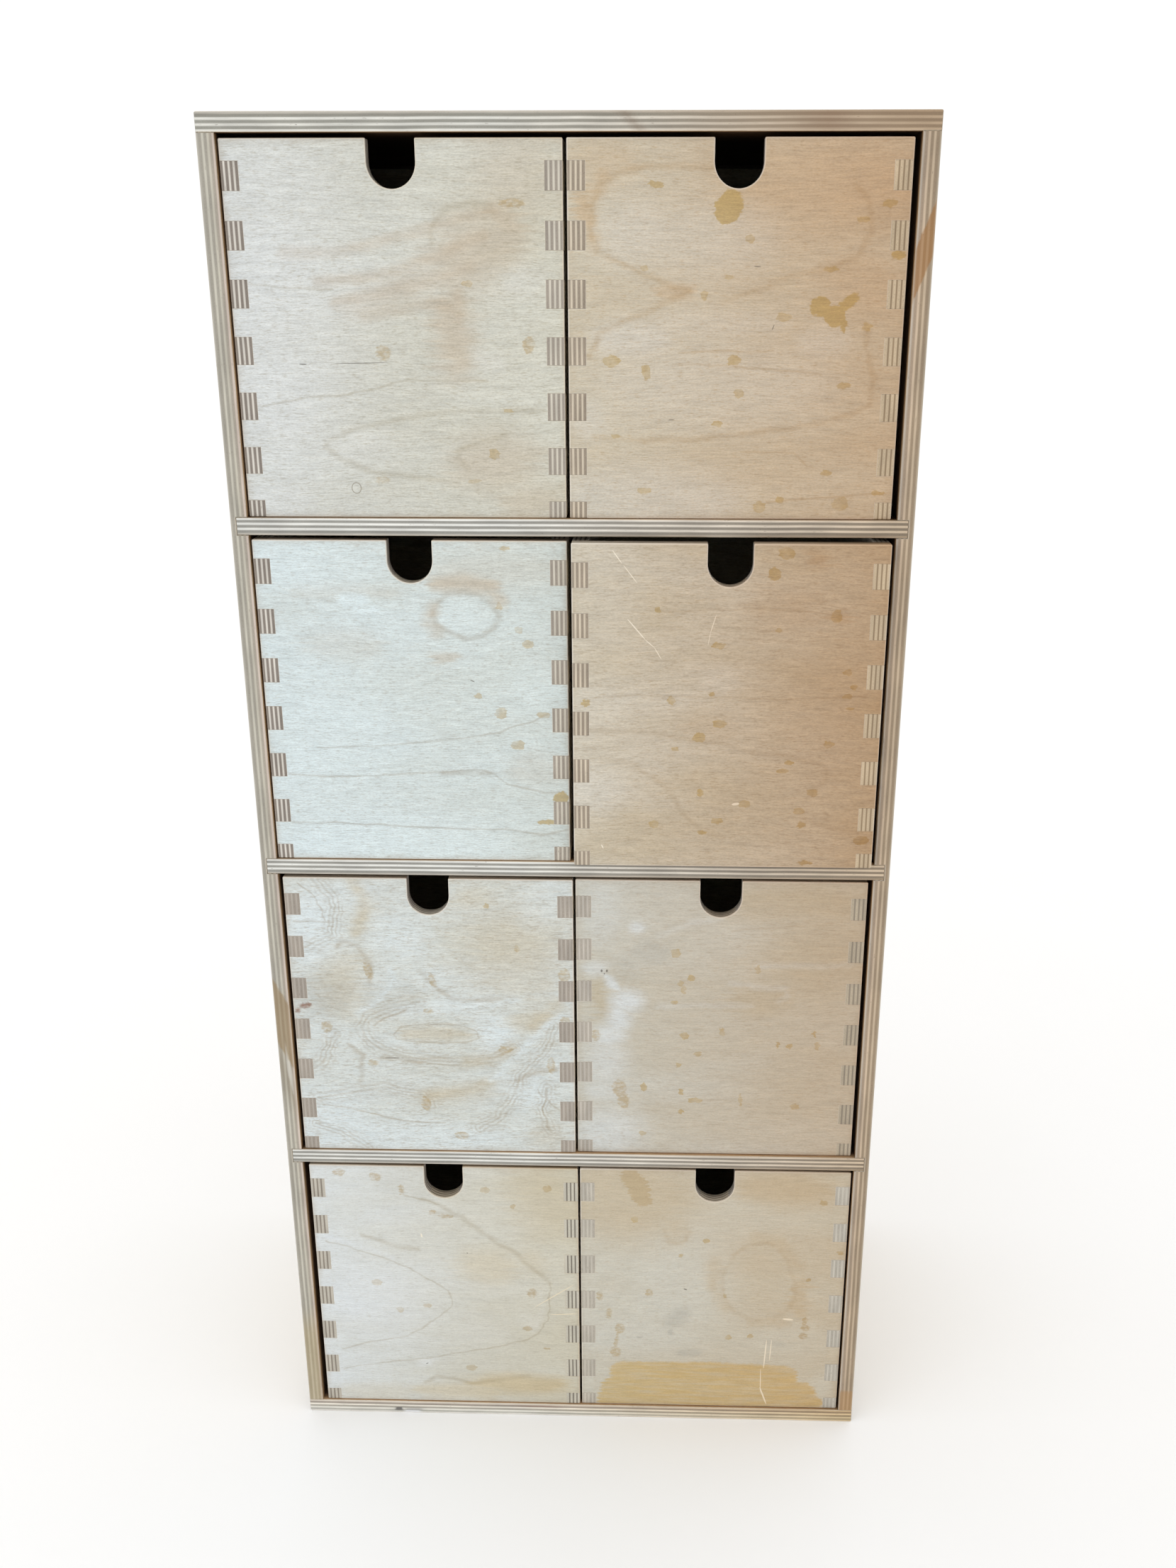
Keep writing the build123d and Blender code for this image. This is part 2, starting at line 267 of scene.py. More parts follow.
def plywood(name, look):
    # birch plywood, sanded and left bare: a satin face with fine fibres, and plies in two tones at the edges
    material, add, shader = newMaterial(name)
    plank, half, cut, lot, inside, deep, aside = [
        add("Attribute", give=give, attribute_name=label) for label, give in woodData.items()]
    cut = add("SeparateXYZ", (cut,)).node.outputs
    place = add("VectorMath MULTIPLY_ADD", (lot, finish["lotStep"], plank))
    coords = {"place": place, "flat": add("VectorMath MULTIPLY", (plank, (1, 1, 0)))}

    # plies at the cut edges: a ramp through the panel for long grain, and one for end grain
    widths = [look["plies"][index % 2] for index in range(look["plyCount"])]
    through = add("VectorMath DOT_PRODUCT", (plank, (0, 0, 1)), give="Value")
    wave = add("Group", {"Coord": place, "Size": finish["plyWave"], "Detail": 2, "Rough": 0.5}, node_tree=grainGroup)
    depth = add("Math MULTIPLY_ADD", (wave, finish["waveShare"], finish["plyMiddle"]))
    depth = add("Math MULTIPLY_ADD", (through, 1 / sum(widths), depth))
    ramps = []
    for tones in (look["sideTones"], look["endTones"]):
        ramp = add("ValToRGB", (depth,)).node
        stops = ramp.color_ramp.elements
        start = 0.0
        for index, width in enumerate(widths):
            for share in (finish["plyBlur"], 1 - finish["plyBlur"]):
                stop = stops.new((start + share * width) / sum(widths))
                stop.color = tint(tones[index % len(tones)])[:3] + [index % 2]  # alpha marks a cross ply
            start += width
        stops.remove(stops[-1])
        stops.remove(stops[0])
        ramps.append(ramp.outputs)
    along = add("SeparateXYZ", (place,)).node.outputs
    crossed = add("CombineXYZ", (along["Y"], along["X"], along["Z"]))
    coords["edge"] = add("Mix VECTOR", {0: ramps[0]["Alpha"], 4: place, 5: crossed}, give=1)

    noise, shown = {}, {}
    for label, seen in patterns.items():
        cells = add("Group", {"Coord": coords[seen.get("on", "place")], "Size": seen["size"],
                              "Detail": seen.get("detail", 3), "Rough": seen.get("rough", 0.5)},
                    node_tree=grainGroup).node.outputs
        noise[label] = cells["Value"]
        if "reach" in seen:
            moved = (cells["Stray"], seen["reach"], coords[seen["moves"]])
            coords[label] = add("VectorMath MULTIPLY_ADD", moved)
        if "give" in seen:
            shares = [look.get(end, end) for end in seen["give"]]
            shown[label] = add("MapRange", (noise[label], *seen["span"], *shares))

    # growth rings are level lines of the swirl, sharp on one side
    level = add("VectorMath DOT_PRODUCT", (coords["figure"], (0, 1 / look["ringGap"], 0)), give="Value")
    ring = add("Math POWER", (add("Math FRACT", (level,)), finish["ringPower"]))
    ring = folded(add, "Math MULTIPLY", (ring, shown["ringWear"], look["ringShare"]))

    marks = look.get("marks", {})
    layers = [(shown["cloud"], look["tan"]), (ring, look["ring"])]
    for kind, drawn in figureKinds.items():
        if kind not in marks:
            continue
        coord, tone = coords[drawn["on"]], look[drawn["tone"]]
        if "width" not in drawn:
            layers.append((softPatches(add, coord, marks[kind]), tone))
            continue
        gap = strokeGap(add, coord, marks[kind])
        strength = drawn["share"] * look["lineShare"]
        line = add("MapRange SMOOTHSTEP", (gap, drawn["width"], 0.0, 0.0, strength))
        if "waves" in drawn:
            # nested lines beside the stroke, as growth rings lie
            paces = [share * math.tau / drawn["waves"] for share in finish["paces"]]
            pace = add("MapRange", (noise["lineWear"], *finish["paceSpan"], *paces))
            swing = add("Math COSINE", (add("Math MULTIPLY", (gap, pace)),))
            swing = add("MapRange", (swing, *finish["swing"]))
            line = add("Math MULTIPLY", (line, swing))
        layers.append((add("Math MULTIPLY", (line, shown["lineWear"])), tone))
    overlay = []
    for kind, laid in markKinds.items():
        if kind not in marks:
            continue
        find = strokeGap if laid["on"] == "smear" else nearest
        gap = find(add, coords[laid["on"]], marks[kind])
        away = add("Math ABSOLUTE", (gap,))
        for part, source, near in (("fill", gap, -laid["edge"]), ("rim", away, 0.0)):
            if not laid[part]:
                continue
            strength = laid[part] * (look["spotShare"] if kind == "spots" else 1.0)
            share = add("MapRange SMOOTHSTEP", (source, laid["edge"], near, 0.0, strength))
            if "wear" in laid:
                share = add("Math MULTIPLY", (share, shown[laid["wear"]]))
            (overlay if "over" in laid else layers).append((share, laid["tone"]))
    layers.append((shown["pores"], look["ring"]))  # short tan dashes in the veneer
    colour = layered(add, tint(look["pale"]), layers)

    # fibres in fine streaks, the fuzz that sanding leaves, and a slow shimmer of the grain
    for label, part in finish["fibreParts"].items():
        share = part * look["fibreShare"]
        shade = add("MapRange", (noise[label], *patterns[label]["span"], 1.0 - share, 1.0 + share))
        colour = add("VectorMath MULTIPLY", (colour, shade))

    # grime along the arrises of the face
    reach = add("VectorMath ABSOLUTE", (plank,))
    room = add("SeparateXYZ", (add("VectorMath SUBTRACT", (half, reach)),)).node.outputs
    rimGap = add("Math MINIMUM", (room["X"], room["Y"]))
    rimGap = add("Math MULTIPLY_ADD", (noise["rimPatch"], finish["grimeStray"], rimGap))
    grime = add("MapRange SMOOTHSTEP", (rimGap, *finish["grimeSpan"], 0.0, look["grime"]))
    colour = layered(add, colour, overlay + [(grime, look["grimeTone"])])

    # the edges' own fibres, patches and specks
    endGrain = add("Math GREATER_THAN", (cut["X"], cut["Y"]))
    plies = layered(add, ramps[0]["Color"], [(endGrain, ramps[1]["Color"])])
    gleams = (1.0 - look["edgeShare"], 1.0 + finish["edgeGleam"] * look["edgeShare"])
    streak = add("MapRange", (noise["edgeFibre"], *patterns["edgeFibre"]["span"], *gleams))
    plies = folded(add, "VectorMath MULTIPLY", (plies, streak, shown["edgePatch"]))
    edgeLayers = [(shown["edgeSpeck"], look["speck"])]
    edgeRun = add("SeparateXYZ", (coords["ragged"],)).node.outputs["X"]
    for tone, low, high, fade, strength, lean, *plyRange in look.get("stains", ()):
        # a stained or worn length of the edge, from and to in mm along the grain, leaning through the plies
        run = add("Math MULTIPLY_ADD", (through, lean, edgeRun))
        limits = [("MapRange SMOOTHSTEP", run, low, high, fade, strength)]
        if plyRange:
            limits.append(("MapRange", through, *plyRange, finish["stainBlur"], 1.0))  # only some of the plies
        shares = []
        for kind, source, start, end, blur, most in limits:
            away = add("Math SUBTRACT", (source, (start + end) / 2))
            away = add("Math ABSOLUTE", (away,))
            reach = (end - start) / 2
            shares.append(add(kind, (away, reach + blur, reach - blur, 0.0, most)))
        edgeLayers.append((folded(add, "Math MULTIPLY", shares), tone))
    plies = layered(add, plies, edgeLayers)
    edgeMask = add("MapRange", (cut["Z"], *finish["edgeSpan"], 0.0, 1.0))
    # eased arrises are paler: partly wear rubbed by hands, partly a painted highlight
    paleArrisWearAndHighlight = add("MapRange", (cut["Z"], *finish["arrisSpan"], 0.0, look["arrisShare"]))
    paleArrisWearAndHighlight = add("Math MULTIPLY", (paleArrisWearAndHighlight, add("MapRange", (cut["Z"], *finish["arrisEnd"], 0.0, 1.0))))
    colour = layered(add, colour, [(edgeMask, plies), (paleArrisWearAndHighlight, look["arris"])])

    # painted warm light toward the right, least on end grain, and painted shade on the inner faces of the case, darker
    # the deeper they lie
    paintedWarmShares = [add("MapRange", (aside, look["yellowFrom"], 1.0, 0.0, 1.0))]
    edgeEnd = add("Math MULTIPLY", (endGrain, edgeMask))
    for mask, none, full in ((edgeMask, look["yellowFace"], 1.0), (edgeEnd, 1.0, finish["endYellow"])):
        paintedWarmShares.append(add("MapRange", (mask, 0.0, 1.0, none, full)))
    # painted shade: inner faces of the case go from a warm brown near the front to dark brown deeper in
    deeper = add("MapRange", (deep, *finish["deepSpan"], 0.0, 1.0))
    dim = layered(add, tint(look["dimNear"]), [(deeper, look["dim"])])
    for share, tone in ((folded(add, "Math MULTIPLY", paintedWarmShares), tint(look["yellowed"])[:3]), (inside, dim)):
        colour = layered(add, colour, [(share, add("VectorMath MULTIPLY", (colour, tone)))])

    swings = (look["rough"] + finish["roughSwing"], look["rough"] - finish["roughSwing"])
    roughness = add("MapRange", (noise["fibre"], *patterns["fibre"]["span"], *swings))
    relief = add("Math MULTIPLY_ADD", (noise["pores"], finish["poreRelief"], noise["fibre"]))
    relief = add("Mix FLOAT", {0: edgeMask, 2: relief, 3: noise["edgeFibre"]})
    normal = add("Bump", {"Height": relief, "Strength": look["bump"], "Distance": finish["reliefDepth"] * mm})
    for socket, source in (("Base Color", colour), ("Roughness", roughness), ("Normal", normal)):
        material.node_tree.links.new(source, shader[socket])
    return material


# Marks on each front in mm from its middle: (across, up, half length, half width[, turn]), patches with a strength
# before the turn, and strokes as a half width and then points
frontMarks = {
    "1a": {
        "clouds": [(41.9, 39.7, 27.2, 17.6, 0.48, 20), (27.5, 1.3, 12, 22.4, 0.5, -8),
            (56.3, 52.5, 12.8, 9.6, 0.55, -35), (9.9, 25.3, 40, 8, 0.3, 20), (46.7, -61.1, 24, 14.4, 0.4),
            (62.7, 73.3, 22.4, 24, 0.32), (65.9, -80.3, 17.6, 9.6, 0.35)],
        "pales": [(64.3, 25.3, 9.6, 7.2, 0.55), (45.1, -11.5, 9.6, 4.8, 0.5, -20), (-62.1, 2.9, 36.8, 67.2, 0.6),
            (-36.5, -51.5, 28.8, 9.6, 0.4), (-62.1, 70.1, 32, 20.8, 0.45), (-66.9, -80.3, 17.6, 9.6, 0.5)],
        "fine": [(0, -72, -34, -52, -30, -32, -29, -17, -26, 5, -21, 44, -22), (0, -75, 24, -54, 22, -32, 22)],
        "soft": [(0, 73, -36, 53, -36, 28, -36, 5, -39, -14, -43, -28, -46, -38, -51, -40, -54, -35, -59, -25, -64, -14,
            -67, 5, -69, 28, -72), (0, 53, -48, 37, -52, 28, -56, 28, -60, 32, -64),
            (0, 18, 43, 20, 52, 26, 58, 37, 61, 48, 60)],
        "bands": [(0, -56, 39, -32, 38, -8, 43, 15, 49, 31, 54, 50, 58),
            (0, -40, 25, -17, 27, 2, 31, 18, 36, 34, 43, 44, 46), (0, -32, 16, -9, 20, 8, 24, 24, 28, 37, 32),
            (0, -17, 9, 2, 12, 18, 16, 32, 12), (0, 5, 22, 21, 27, 31, 22, 31, 6)],
        "tints": [(-8.5, -8.3, 3.8, 3.5), (65.9, -4.3, 2.6, 4.2), (58.7, 60.8, 6.4, 1.6), (-12.5, -70.7, 3.8, 1.4)],
        "spots": [(46.7, -57.6, 2.6, 2.6), (35.5, 24.5, 2.2, 1.3), (54.7, -36, 2.6, 0.8), (36.3, -71, 3.2, 0.8)],
        "rings": [(-26.1, -74.7, 2.4, 2.7)],
        "marks": [(-20.5, -13.1, 12.8, 0.2, 1), (-49.8, -13.7, 1.8, 0.3, -2)],
    },
    "1b": {
        "clouds": [(-75, 60.5, 4.8, 9.6, 0.5), (60.2, 23.7, 19.2, 14.4, 0.3), (-29.4, 20.5, 9.6, 3.5, 0.4),
            (41, 70.1, 52.8, 24, 0.5), (-67.8, 78.1, 17.6, 9.6, 0.3)],
        "pales": [(-50.2, 47.7, 19.2, 14.4, 0.5), (-15, 44.5, 35.2, 16, 0.4), (-45.4, -81.1, 51.2, 17.6, 0.6),
            (-51.8, -1.9, 20.8, 8.8, 0.7), (-7, -22.7, 64, 20.8, 0.35), (44.2, -3.5, 14.4, 8, 0.5),
            (-11.8, 5.3, 40, 6.4, 0.35), (-74.2, -40.3, 9.6, 9.6, 0.5)],
        "fine": [(0, 19, -81, 44, -79, 83, -76), (0, -28, -8, -1, -7, 19, -7), (0, -31, -13, -4, -14, 44, -18),
            (0, 6, -56, 31, -56, 39, -63)],
        "soft": [(0, -13, 76, -31, 77, -45, 77, -58, 74, -68, 68, -72, 60, -73, 46, -69, 39, -58, 34, -44, 28, -31, 23,
            -23, 21), (0, -23, 21, -31, 18, -42, 12, -58, 6, -69, 0, -73, -10), (0, -7, 16, 3, 19, 15, 23, 28, 28, 44,
            31, 59, 36, 66, 48, 64, 60, 57, 68), (0, 65, 5, 67, -7, 71, -20, 70, -32, 60, -38, 44, -42, 22, -45, -1,
            -48, -20, -50, -44, -50, -71, -49)],
        "broad": [(0, -66, 72, -74, 59, -72, 43)],
        "blots": [(-4.6, 58.9, 6.4, 8, -35), (42.1, 13.8, 5, 4.6), (55.7, 15.4, 6.1, 2.7, 40),
            (49.3, 9.3, 5.8, 4.8, -30), (54.1, 5.3, 1.4, 3.8), (79.4, 37.3, 3.5, 1.9)],
        "spots": [(24.2, 8.8, 3.5, 1.9), (-40.3, 69, 3.5, 1.6), (6.2, 44.8, 2.1, 1.6), (61, 53.3, 3.2, 1.3),
            (-46.2, 31.5, 1.8, 1.1), (46.6, 30.9, 3.5, 1.1), (-62.2, -12, 4.5, 2.4), (-44.6, -16.3, 2.2, 2.6),
            (-44.3, -19.5, 1.3, 1.6), (-0.2, -11.5, 3.2, 2.2), (2.6, -27.2, 2.4, 1.8), (-7.8, -42.2, 2.6, 1.3),
            (55.4, -23.4, 3.2, 1.4), (49, -66.4, 2.9, 1.3), (-45, -75.5, 3.5, 1.4), (15, -83.5, 3, 2.7),
            (25.4, -79.8, 1.9, 1.6), (57, -81.9, 4.2, 3.5), (76.2, -76.3, 3.2, 1), (65.8, 4.5, 2.2, 1.9),
            (-15.8, 18.9, 1.4, 2.1), (-60.2, -48.3, 1.8, 0.8), (-3.8, 27.2, 2.2, 1.1), (73.8, 60.5, 3.5, 1.6)],
        "marks": [(81.1, 41.7, 2, 0.5, -85), (10.2, 32.2, 1.6, 0.2, -3), (-31.5, -40.2, 1.4, 0.2, 3),
            (19, 4.1, 1.3, 0.2, 68)],
    },
    "2a": {
        "clouds": [(28.6, 66.4, 18.4, 5.4, 0.6), (14.2, 26.4, 8, 3.2, 0.5), (-38.6, 62.7, 28.8, 4.8, 0.25),
            (-38.6, 33.1, 22.4, 8, 0.25), (44.6, 74.7, 32, 11.2, 0.25), (67, -35.7, 14.4, 9.6, 0.25)],
        "pales": [(28.6, 50.4, 12.8, 8.8, 0.35), (-32.2, 58.4, 8.8, 4, 0.8), (-25, 52.8, 8, 2.6, 0.7),
            (-54.6, -29.3, 41.6, 52.8, 0.5), (-16.2, -80.5, 68.8, 17.6, 0.75), (-51.4, 77.1, 41.6, 14.4, 0.5),
            (67, 13.9, 17.6, 12.8, 0.4)],
        "fine": [(0, -56, -24, -31, -23, -11, -22, 6, -20, 25, -18, 38, -16, 49, -13, 61, -9, 73, -4), (0, -74, -40,
            -55, -41, -32, -40, -15, -39, 3, -38, 19, -37, 35, -36, 43, -39, 49, -44, 61, -47, 70, -49, 81, -49), (0,
            -74, -68, -51, -68, -27, -69, -3, -70, 13, -71, 29, -71, 45, -71, 57, -72, 67, -74, 77, -72, 83, -71)],
        "soft": [(0, 11, 51, 13, 56, 19, 61, 29, 63, 38, 61, 44, 56, 47, 48, 43, 43, 37, 39, 29, 37, 21, 40, 14, 44, 11,
            51), (0, 13, -38, 25, -38, 40, -38)],
        "broad": [(0, 13, 67, 29, 69, 43, 66, 48, 58), (0, 11, 54, 9, 46, 13, 41)],
        "spots": [(46.6, -3.7, 3.2, 3.2), (55.5, -21.6, 3.4, 2.4), (34.2, 5.9, 2.1, 1.4), (47, 55.2, 1.8, 1.6),
            (62.2, 34.7, 2.9, 1.9), (57.4, 42.4, 2.2, 1.4), (70.2, -4.5, 3.5, 1.6), (51, 85.6, 2.6, 1)],
        "blots": [(79, -52.5, 4.2, 4.2, 20), (81.1, -60.5, 2.1, 6.4), (71, -66.4, 5.4, 1.3)],
        "marks": [(31.4, 14.3, 1.3, 0.25, -25), (79.7, -88.3, 0.4, 0.4, -27)],
    },
    "2b": {
        "clouds": [(45.9, 82.1, 6.4, 4.8, 0.5), (-6.9, -9.9, 19.2, 9.6, 0.2), (44.3, -5.1, 32, 32, 0.2),
            (57.1, 51.7, 6.1, 3.8, 0.4), (28.3, 57.3, 20.8, 12.8, 0.3)],
        "pales": [(-65.1, 56.2, 19.2, 14.4, 0.3), (-74.1, -46.7, 17.6, 12.8, 0.6), (-51.7, 4.5, 32, 9.6, 0.25),
            (-3.7, 17.3, 9.6, 6.4, 0.3)],
        "fine": [(0, -38, 54, -13, 55, 12, 56, 38, 55, 60, 52), (0, -74, 7, -52, 9, -28, 8, 0, 8, 28, 7, 52, 8, 76, 9),
            (0, 16, 44, 28, 44), (0, 6, 40, 38, 38), (0, -58, 43, -53, 43)],
        "soft": [(0, -74, -11, -44, -12, -23, -15, -4, -18, 12, -22, 36, -25, 54, -30, 57, -36, 44, -51), (0, -68, -27,
            -52, -30, -37, -39, -29, -47, -23, -58, -12, -69, 0, -72), (0, 44, -60, 60, -66, 76, -68)],
        "spots": [(29.1, 85, 4.2, 2.9), (23.2, 74.1, 3.2, 3.2), (57.1, 52.2, 2.9, 3.2), (-3.7, -6.7, 3.5, 1.8),
            (-14.6, -14.7, 3.5, 2.4), (-30.1, 6.1, 1.8, 2.2), (-76.5, 4, 2.2, 1.6), (64.3, 22.1, 2.6, 1.4),
            (68.3, 14.1, 1.6, 1.3), (65.1, 9, 2.2, 1.4), (56.3, -17.9, 2.6, 1.9), (35, -28.5, 2.2, 1.1),
            (48.8, -45.6, 2.9, 1.8), (11.2, -52.3, 2.9, 1.8), (41.9, -56.3, 2.9, 1.6), (43.2, -64.3, 2.1, 1.6),
            (77.1, -73.1, 4.5, 2.4), (-3.7, -62.4, 2.6, 1.4), (-39.2, -64.8, 2.6, 1.9), (45.9, -86.7, 3.8, 1.1),
            (-27.7, -21.1, 1.8, 1), (-8.5, 9.6, 1.4, 1), (31.5, -33.1, 2.9, 1), (-13.3, -45.9, 1.4, 2.1),
            (-5.3, 36.2, 3.5, 1.6), (-38.1, 55.2, 1.3, 1.3), (26.7, 44.5, 1.4, 1.1), (-11.7, -69.4, 2.2, 1),
            (66.7, 2.1, 2.2, 1)],
        "scratches": [(-59.7, 82.7, 4.1, 0.26, -54), (-52.7, 73.7, 5.6, 0.2, -52), (-49.3, 44.5, 7.4, 0.3, -49),
            (-42.1, 36.9, 3.1, 0.22, -40), (-37.8, 31.8, 3.6, 0.2, -59), (-8.3, 47.7, 5, 0.2, -107),
            (-10.3, 39.7, 3.2, 0.15, -100), (6.4, -52.5, 2.1, 0.7, 9), (-0.5, 13.3, 3.2, 0.12, 180),
            (-67.9, -78.3, 1.3, 0.3, -65)],
    },
    "3a": {
        "clouds": [(49.1, 46.4, 32, 28.8, 0.5), (53.9, 24, 25.6, 8.8, 0.4), (-54.9, 24, 14.4, 20.8, 0.5),
            (1.1, -9.6, 22.4, 5.1, 0.45), (-35.7, 65.6, 8, 17.6, 0.12, -30), (55.5, 0, 14.4, 6.4, 0.45, 20),
            (10.7, -51.2, 25.6, 6.4, 0.25), (66.7, -78.4, 14.4, 9.6, 0.35), (65.1, 16, 14.4, 11.2, 0.25),
            (25.1, 76.8, 15.2, 8, 0.35)],
        "pales": [(-18.1, 52.8, 17.6, 14.4, 0.5), (36.3, -9.6, 11.2, 9.6, 0.65), (-62.9, -67.2, 20.8, 17.6, 0.6),
            (63.5, 68.8, 11.2, 9.6, 0.22, 20), (-69.3, 57.6, 19.2, 20.8, 0.75), (-32.5, -80.8, 68.8, 14.4, 0.55),
            (58.7, -51.2, 12.8, 9.6, 0.45), (13.9, 9.6, 38.4, 4.8, 0.4, 5)],
        "smudges": [(-66.1, 14.4, 16, 13.6, 0.4), (-26.9, 14.4, 17.6, 11.2, 0.2)],
        "fine": [(0, -24, -10, -21, -6, -13, -4, 1, -3, 17, -4, 25, -7, 26, -12, 20, -15, 4, -16, -13, -15, -22, -13,
            -24, -10), (0, -21, -26, 1, -26, 24, -26, 36, -24, 46, -20), (0, -76, 86, -68, 80, -63, 70, -61, 62),
            (0, -80, 62, -56, 62), (0, 75, -61, 64, -51, 61, -46), (0, -71, -59, -53, -61, -32, -67, -15, -70, 4, -70),
            (0, -36, -5, -31, 0, -23, 3, -16, 6), (0, 67, -45, 64, -59, 67, -74)],
        "rills": [(0, -8, 12, -29, 6, -39, 2, -44, -6, -39, -16, -31, -21, -18, -25, 1, -28, 19, -28, 33, -26, 48, -18),
            (0, -64, 89, -56, 78, -55, 67, -58, 54, -76, 45), (0, 72, -3, 67, -18, 51, -37, 47, -50, 36, -67, 25, -74),
            (0, 68, -45, 64, -59, 68, -75), (0, -73, -54, -58, -51, -32, -46, -10, -51, -4, -58),
            (0, -76, -72, -61, -77, -44, -90), (0, -76, -35, -68, -29, -61, -10)],
        "soft": [(0, -56, 46, -51, 50, -44, 47, -37, 38, -36, 30, -38, 24), (0, 72, -32, 59, -35, 49, -40),
            (0, -52, -18, -44, -24, -45, -34, -47, -42), (0, -4, 29, 1, 21, 11, 14, 19, 13, 40, 14),
            (0, -32, -26, -21, -26, -10, -29)],
        "broad": [(0, 75, 10, 65, 3, 59, -5), (0, -44, 88, -37, 77, -39, 64, -44, 56), (0, 19, -28, 36, -25, 46, -19),
            (0, 33, -42, 11, -48, -5, -51)],
        "paler": [(0, 75, 3, 64, -6, 54, -18, 43, -30, 33, -40), (0, -32, 13, -23, 24, -24, 32), (0, -45, 3, -31, 13)],
        "tints": [(-64.8, -5.9, 3.2, 3.5), (-38.1, -29.6, 3, 2.1), (69.9, -29.6, 2.2, 4.8), (78.7, 29.6, 3.2, 4.2),
            (78.7, -0.5, 2.9, 2.9), (13.9, -78.7, 4.2, 2.2), (-37.3, 31.2, 2.2, 5.4, 12), (-6.9, -56.8, 2.6, 4.8),
            (50.7, 46.4, 1.4, 2.2), (-2.9, 5.6, 2.6, 1.4), (42.7, -19.2, 4.2, 1.6), (0.3, 25.6, 1.6, 4.8, 15)],
        "spots": [(33.9, 73.3, 1.6, 1.3)],
        "knots": [(-81.4, 4.8, 1.1, 1.3), (-76.6, 8.3, 3.2, 1.3, 10)],
        "marks": [(-26.5, -26.1, 4.4, 0.25)],
    },
    "3b": {
        "clouds": [(57.9, 45, 28.8, 38.4, 0.4), (53.1, -35, 28.8, 32, 0.3), (-69.4, 13, 5.4, 14.4, 0.5),
            (45.1, 76.2, 44.8, 12.8, 0.5), (27.5, 14.6, 19.2, 11.2, 0.45)],
        "pales": [(-48, 60.2, 4.5, 3.5, 0.7), (-62.9, 25, 7.2, 2.7, 0.8, -45), (-54.1, 13, 9.3, 7.4, 0.9),
            (-58.9, 1.8, 7, 9.9, 0.85), (-64, -9.4, 9.9, 8, 0.75, 15), (-65.3, -25.4, 12, 14.4, 0.5),
            (-66.9, -47.8, 12, 7.2, 0.4), (-65.3, -76.6, 20.8, 17.6, 0.6), (-73.3, 33.8, 8, 4.8, 0.5),
            (-68.5, 69, 9.6, 19.2, 0.25)],
        "smudges": [(-40, 45, 11.5, 7, 0.3), (-54.9, 34.6, 9.9, 6.7, 0.22)],
        "fine": [(0, 26, 70, 39, 69), (0, 7, 59, 29, 61, 48, 63), (0, -16, -53, 7, -52)],
        "paler": [(0, 7, 26, 26, 23, 40, 22, 42, 18, 36, 14), (0, -35, 10, -3, 11, 20, 11), (0, 23, 37, 50, 37, 77, 38),
            (0, -35, 55, -16, 64, 0, 67)],
        "tints": [(-58.6, -45, 4.2, 5.4, 8), (-56, -53.4, 3.5, 5.4, 8), (-72.5, -9.4, 2.2, 3.5)],
        "spots": [(-25.6, 44.3, 2.7, 2.6), (-16, 28.6, 2.2, 1.9), (-22.4, 25, 1.3, 1.6), (-20.5, 21, 1.3, 2.6),
            (-19.2, -9.4, 2.4, 2.2), (2.7, -6.2, 1.4, 2.6), (43.2, -15.4, 1.6, 1.6), (60, -15, 1.4, 2.6),
            (48.3, -55.8, 2.6, 1.8), (-43.7, -44.3, 1.6, 2.9), (-21.3, -47, 1.3, 2.2), (-44.2, -75.8, 1.8, 1.4),
            (-11.2, -21, 1.8, 1.6), (22.7, 34.6, 1.3, 2.9), (-26.1, 12.6, 1.8, 1), (36.3, -14.6, 1, 1.9),
            (57.9, -7, 0.8, 2.2), (-21, -60.6, 1.3, 1.6), (15, -51.8, 0.6, 3.8), (-12.5, -52.6, 4.2, 1.6),
            (-22.9, -29, 1.3, 1.1)],
        "marks": [(-69, 32.6, 0.6, 0.85), (-65.9, 32.6, 0.6, 0.85, -7), (-67.4, 30.7, 0.4, 0.45, -22)],
    },
    "4a": {
        "clouds": [(41.6, -75.2, 35.2, 7.2, 0.55), (3.2, -81.6, 28.8, 6.4, 0.4), (54.4, 20.8, 9.6, 9.6, 0.2),
            (64, 65.6, 20.8, 25.6, 0.3), (24, 16, 20.8, 12.8, 0.3), (-46.4, -83.2, 25.6, 6.4, 0.2)],
        "pales": [(-49.6, -6.4, 38.4, 27.2, 0.5), (51.2, -25.6, 8, 6.4, 0.4), (-17.6, -59.2, 4.8, 3.2, 0.6),
            (24, -36, 19.2, 11.2, 0.35)],
        "smudges": [(64, 65.6, 19.2, 24, 0.1), (-28, 75.2, 19.2, 12.8, 0.1)],
        "fine": [(0, -26, 69, -14, 66, -3, 62), (0, 65, 5, 65, -10, 64, -22, 58, -34, 48, -40, 32, -45, 13, -49, -10,
            -54, -34, -58, -58, -62, -72, -65), (0, -77, 34, -62, 30, -50, 25, -37, 20, -24, 14, -14, 7, -3, 0, 2, -6,
            1, -14, -6, -22, -18, -31, -29, -38, -46, -42, -62, -46, -72, -49)],
        "soft": [(0, -14, 66, -3, 62, 10, 53, 22, 43, 32, 35, 43, 28, 50, 20, 59, 12, 65, 5),
            (0, -54, 39, -43, 35, -32, 30, -18, 29), (0, -18, -75, -10, -70, 3, -72, 13, -75, 29, -72, 50, -68),
            (0, -6, 56, 10, 54, 19, 46, 32, 36)],
        "paler": [(0, -77, 38, -61, 32, -48, 28, -35, 22), (0, -10, -56, -22, -61), (0, 59, -3, 60, -19, 54, -32)],
        "tints": [(53.6, -2.7, 2.9, 3.2), (-65.6, 84.5, 3.8, 2.4), (-42.9, 81.3, 3.5, 2.7), (-8, 56.8, 2.2, 1.4),
            (0.8, 53.6, 4.2, 1), (-26.9, 72.8, 1.6, 3.5)],
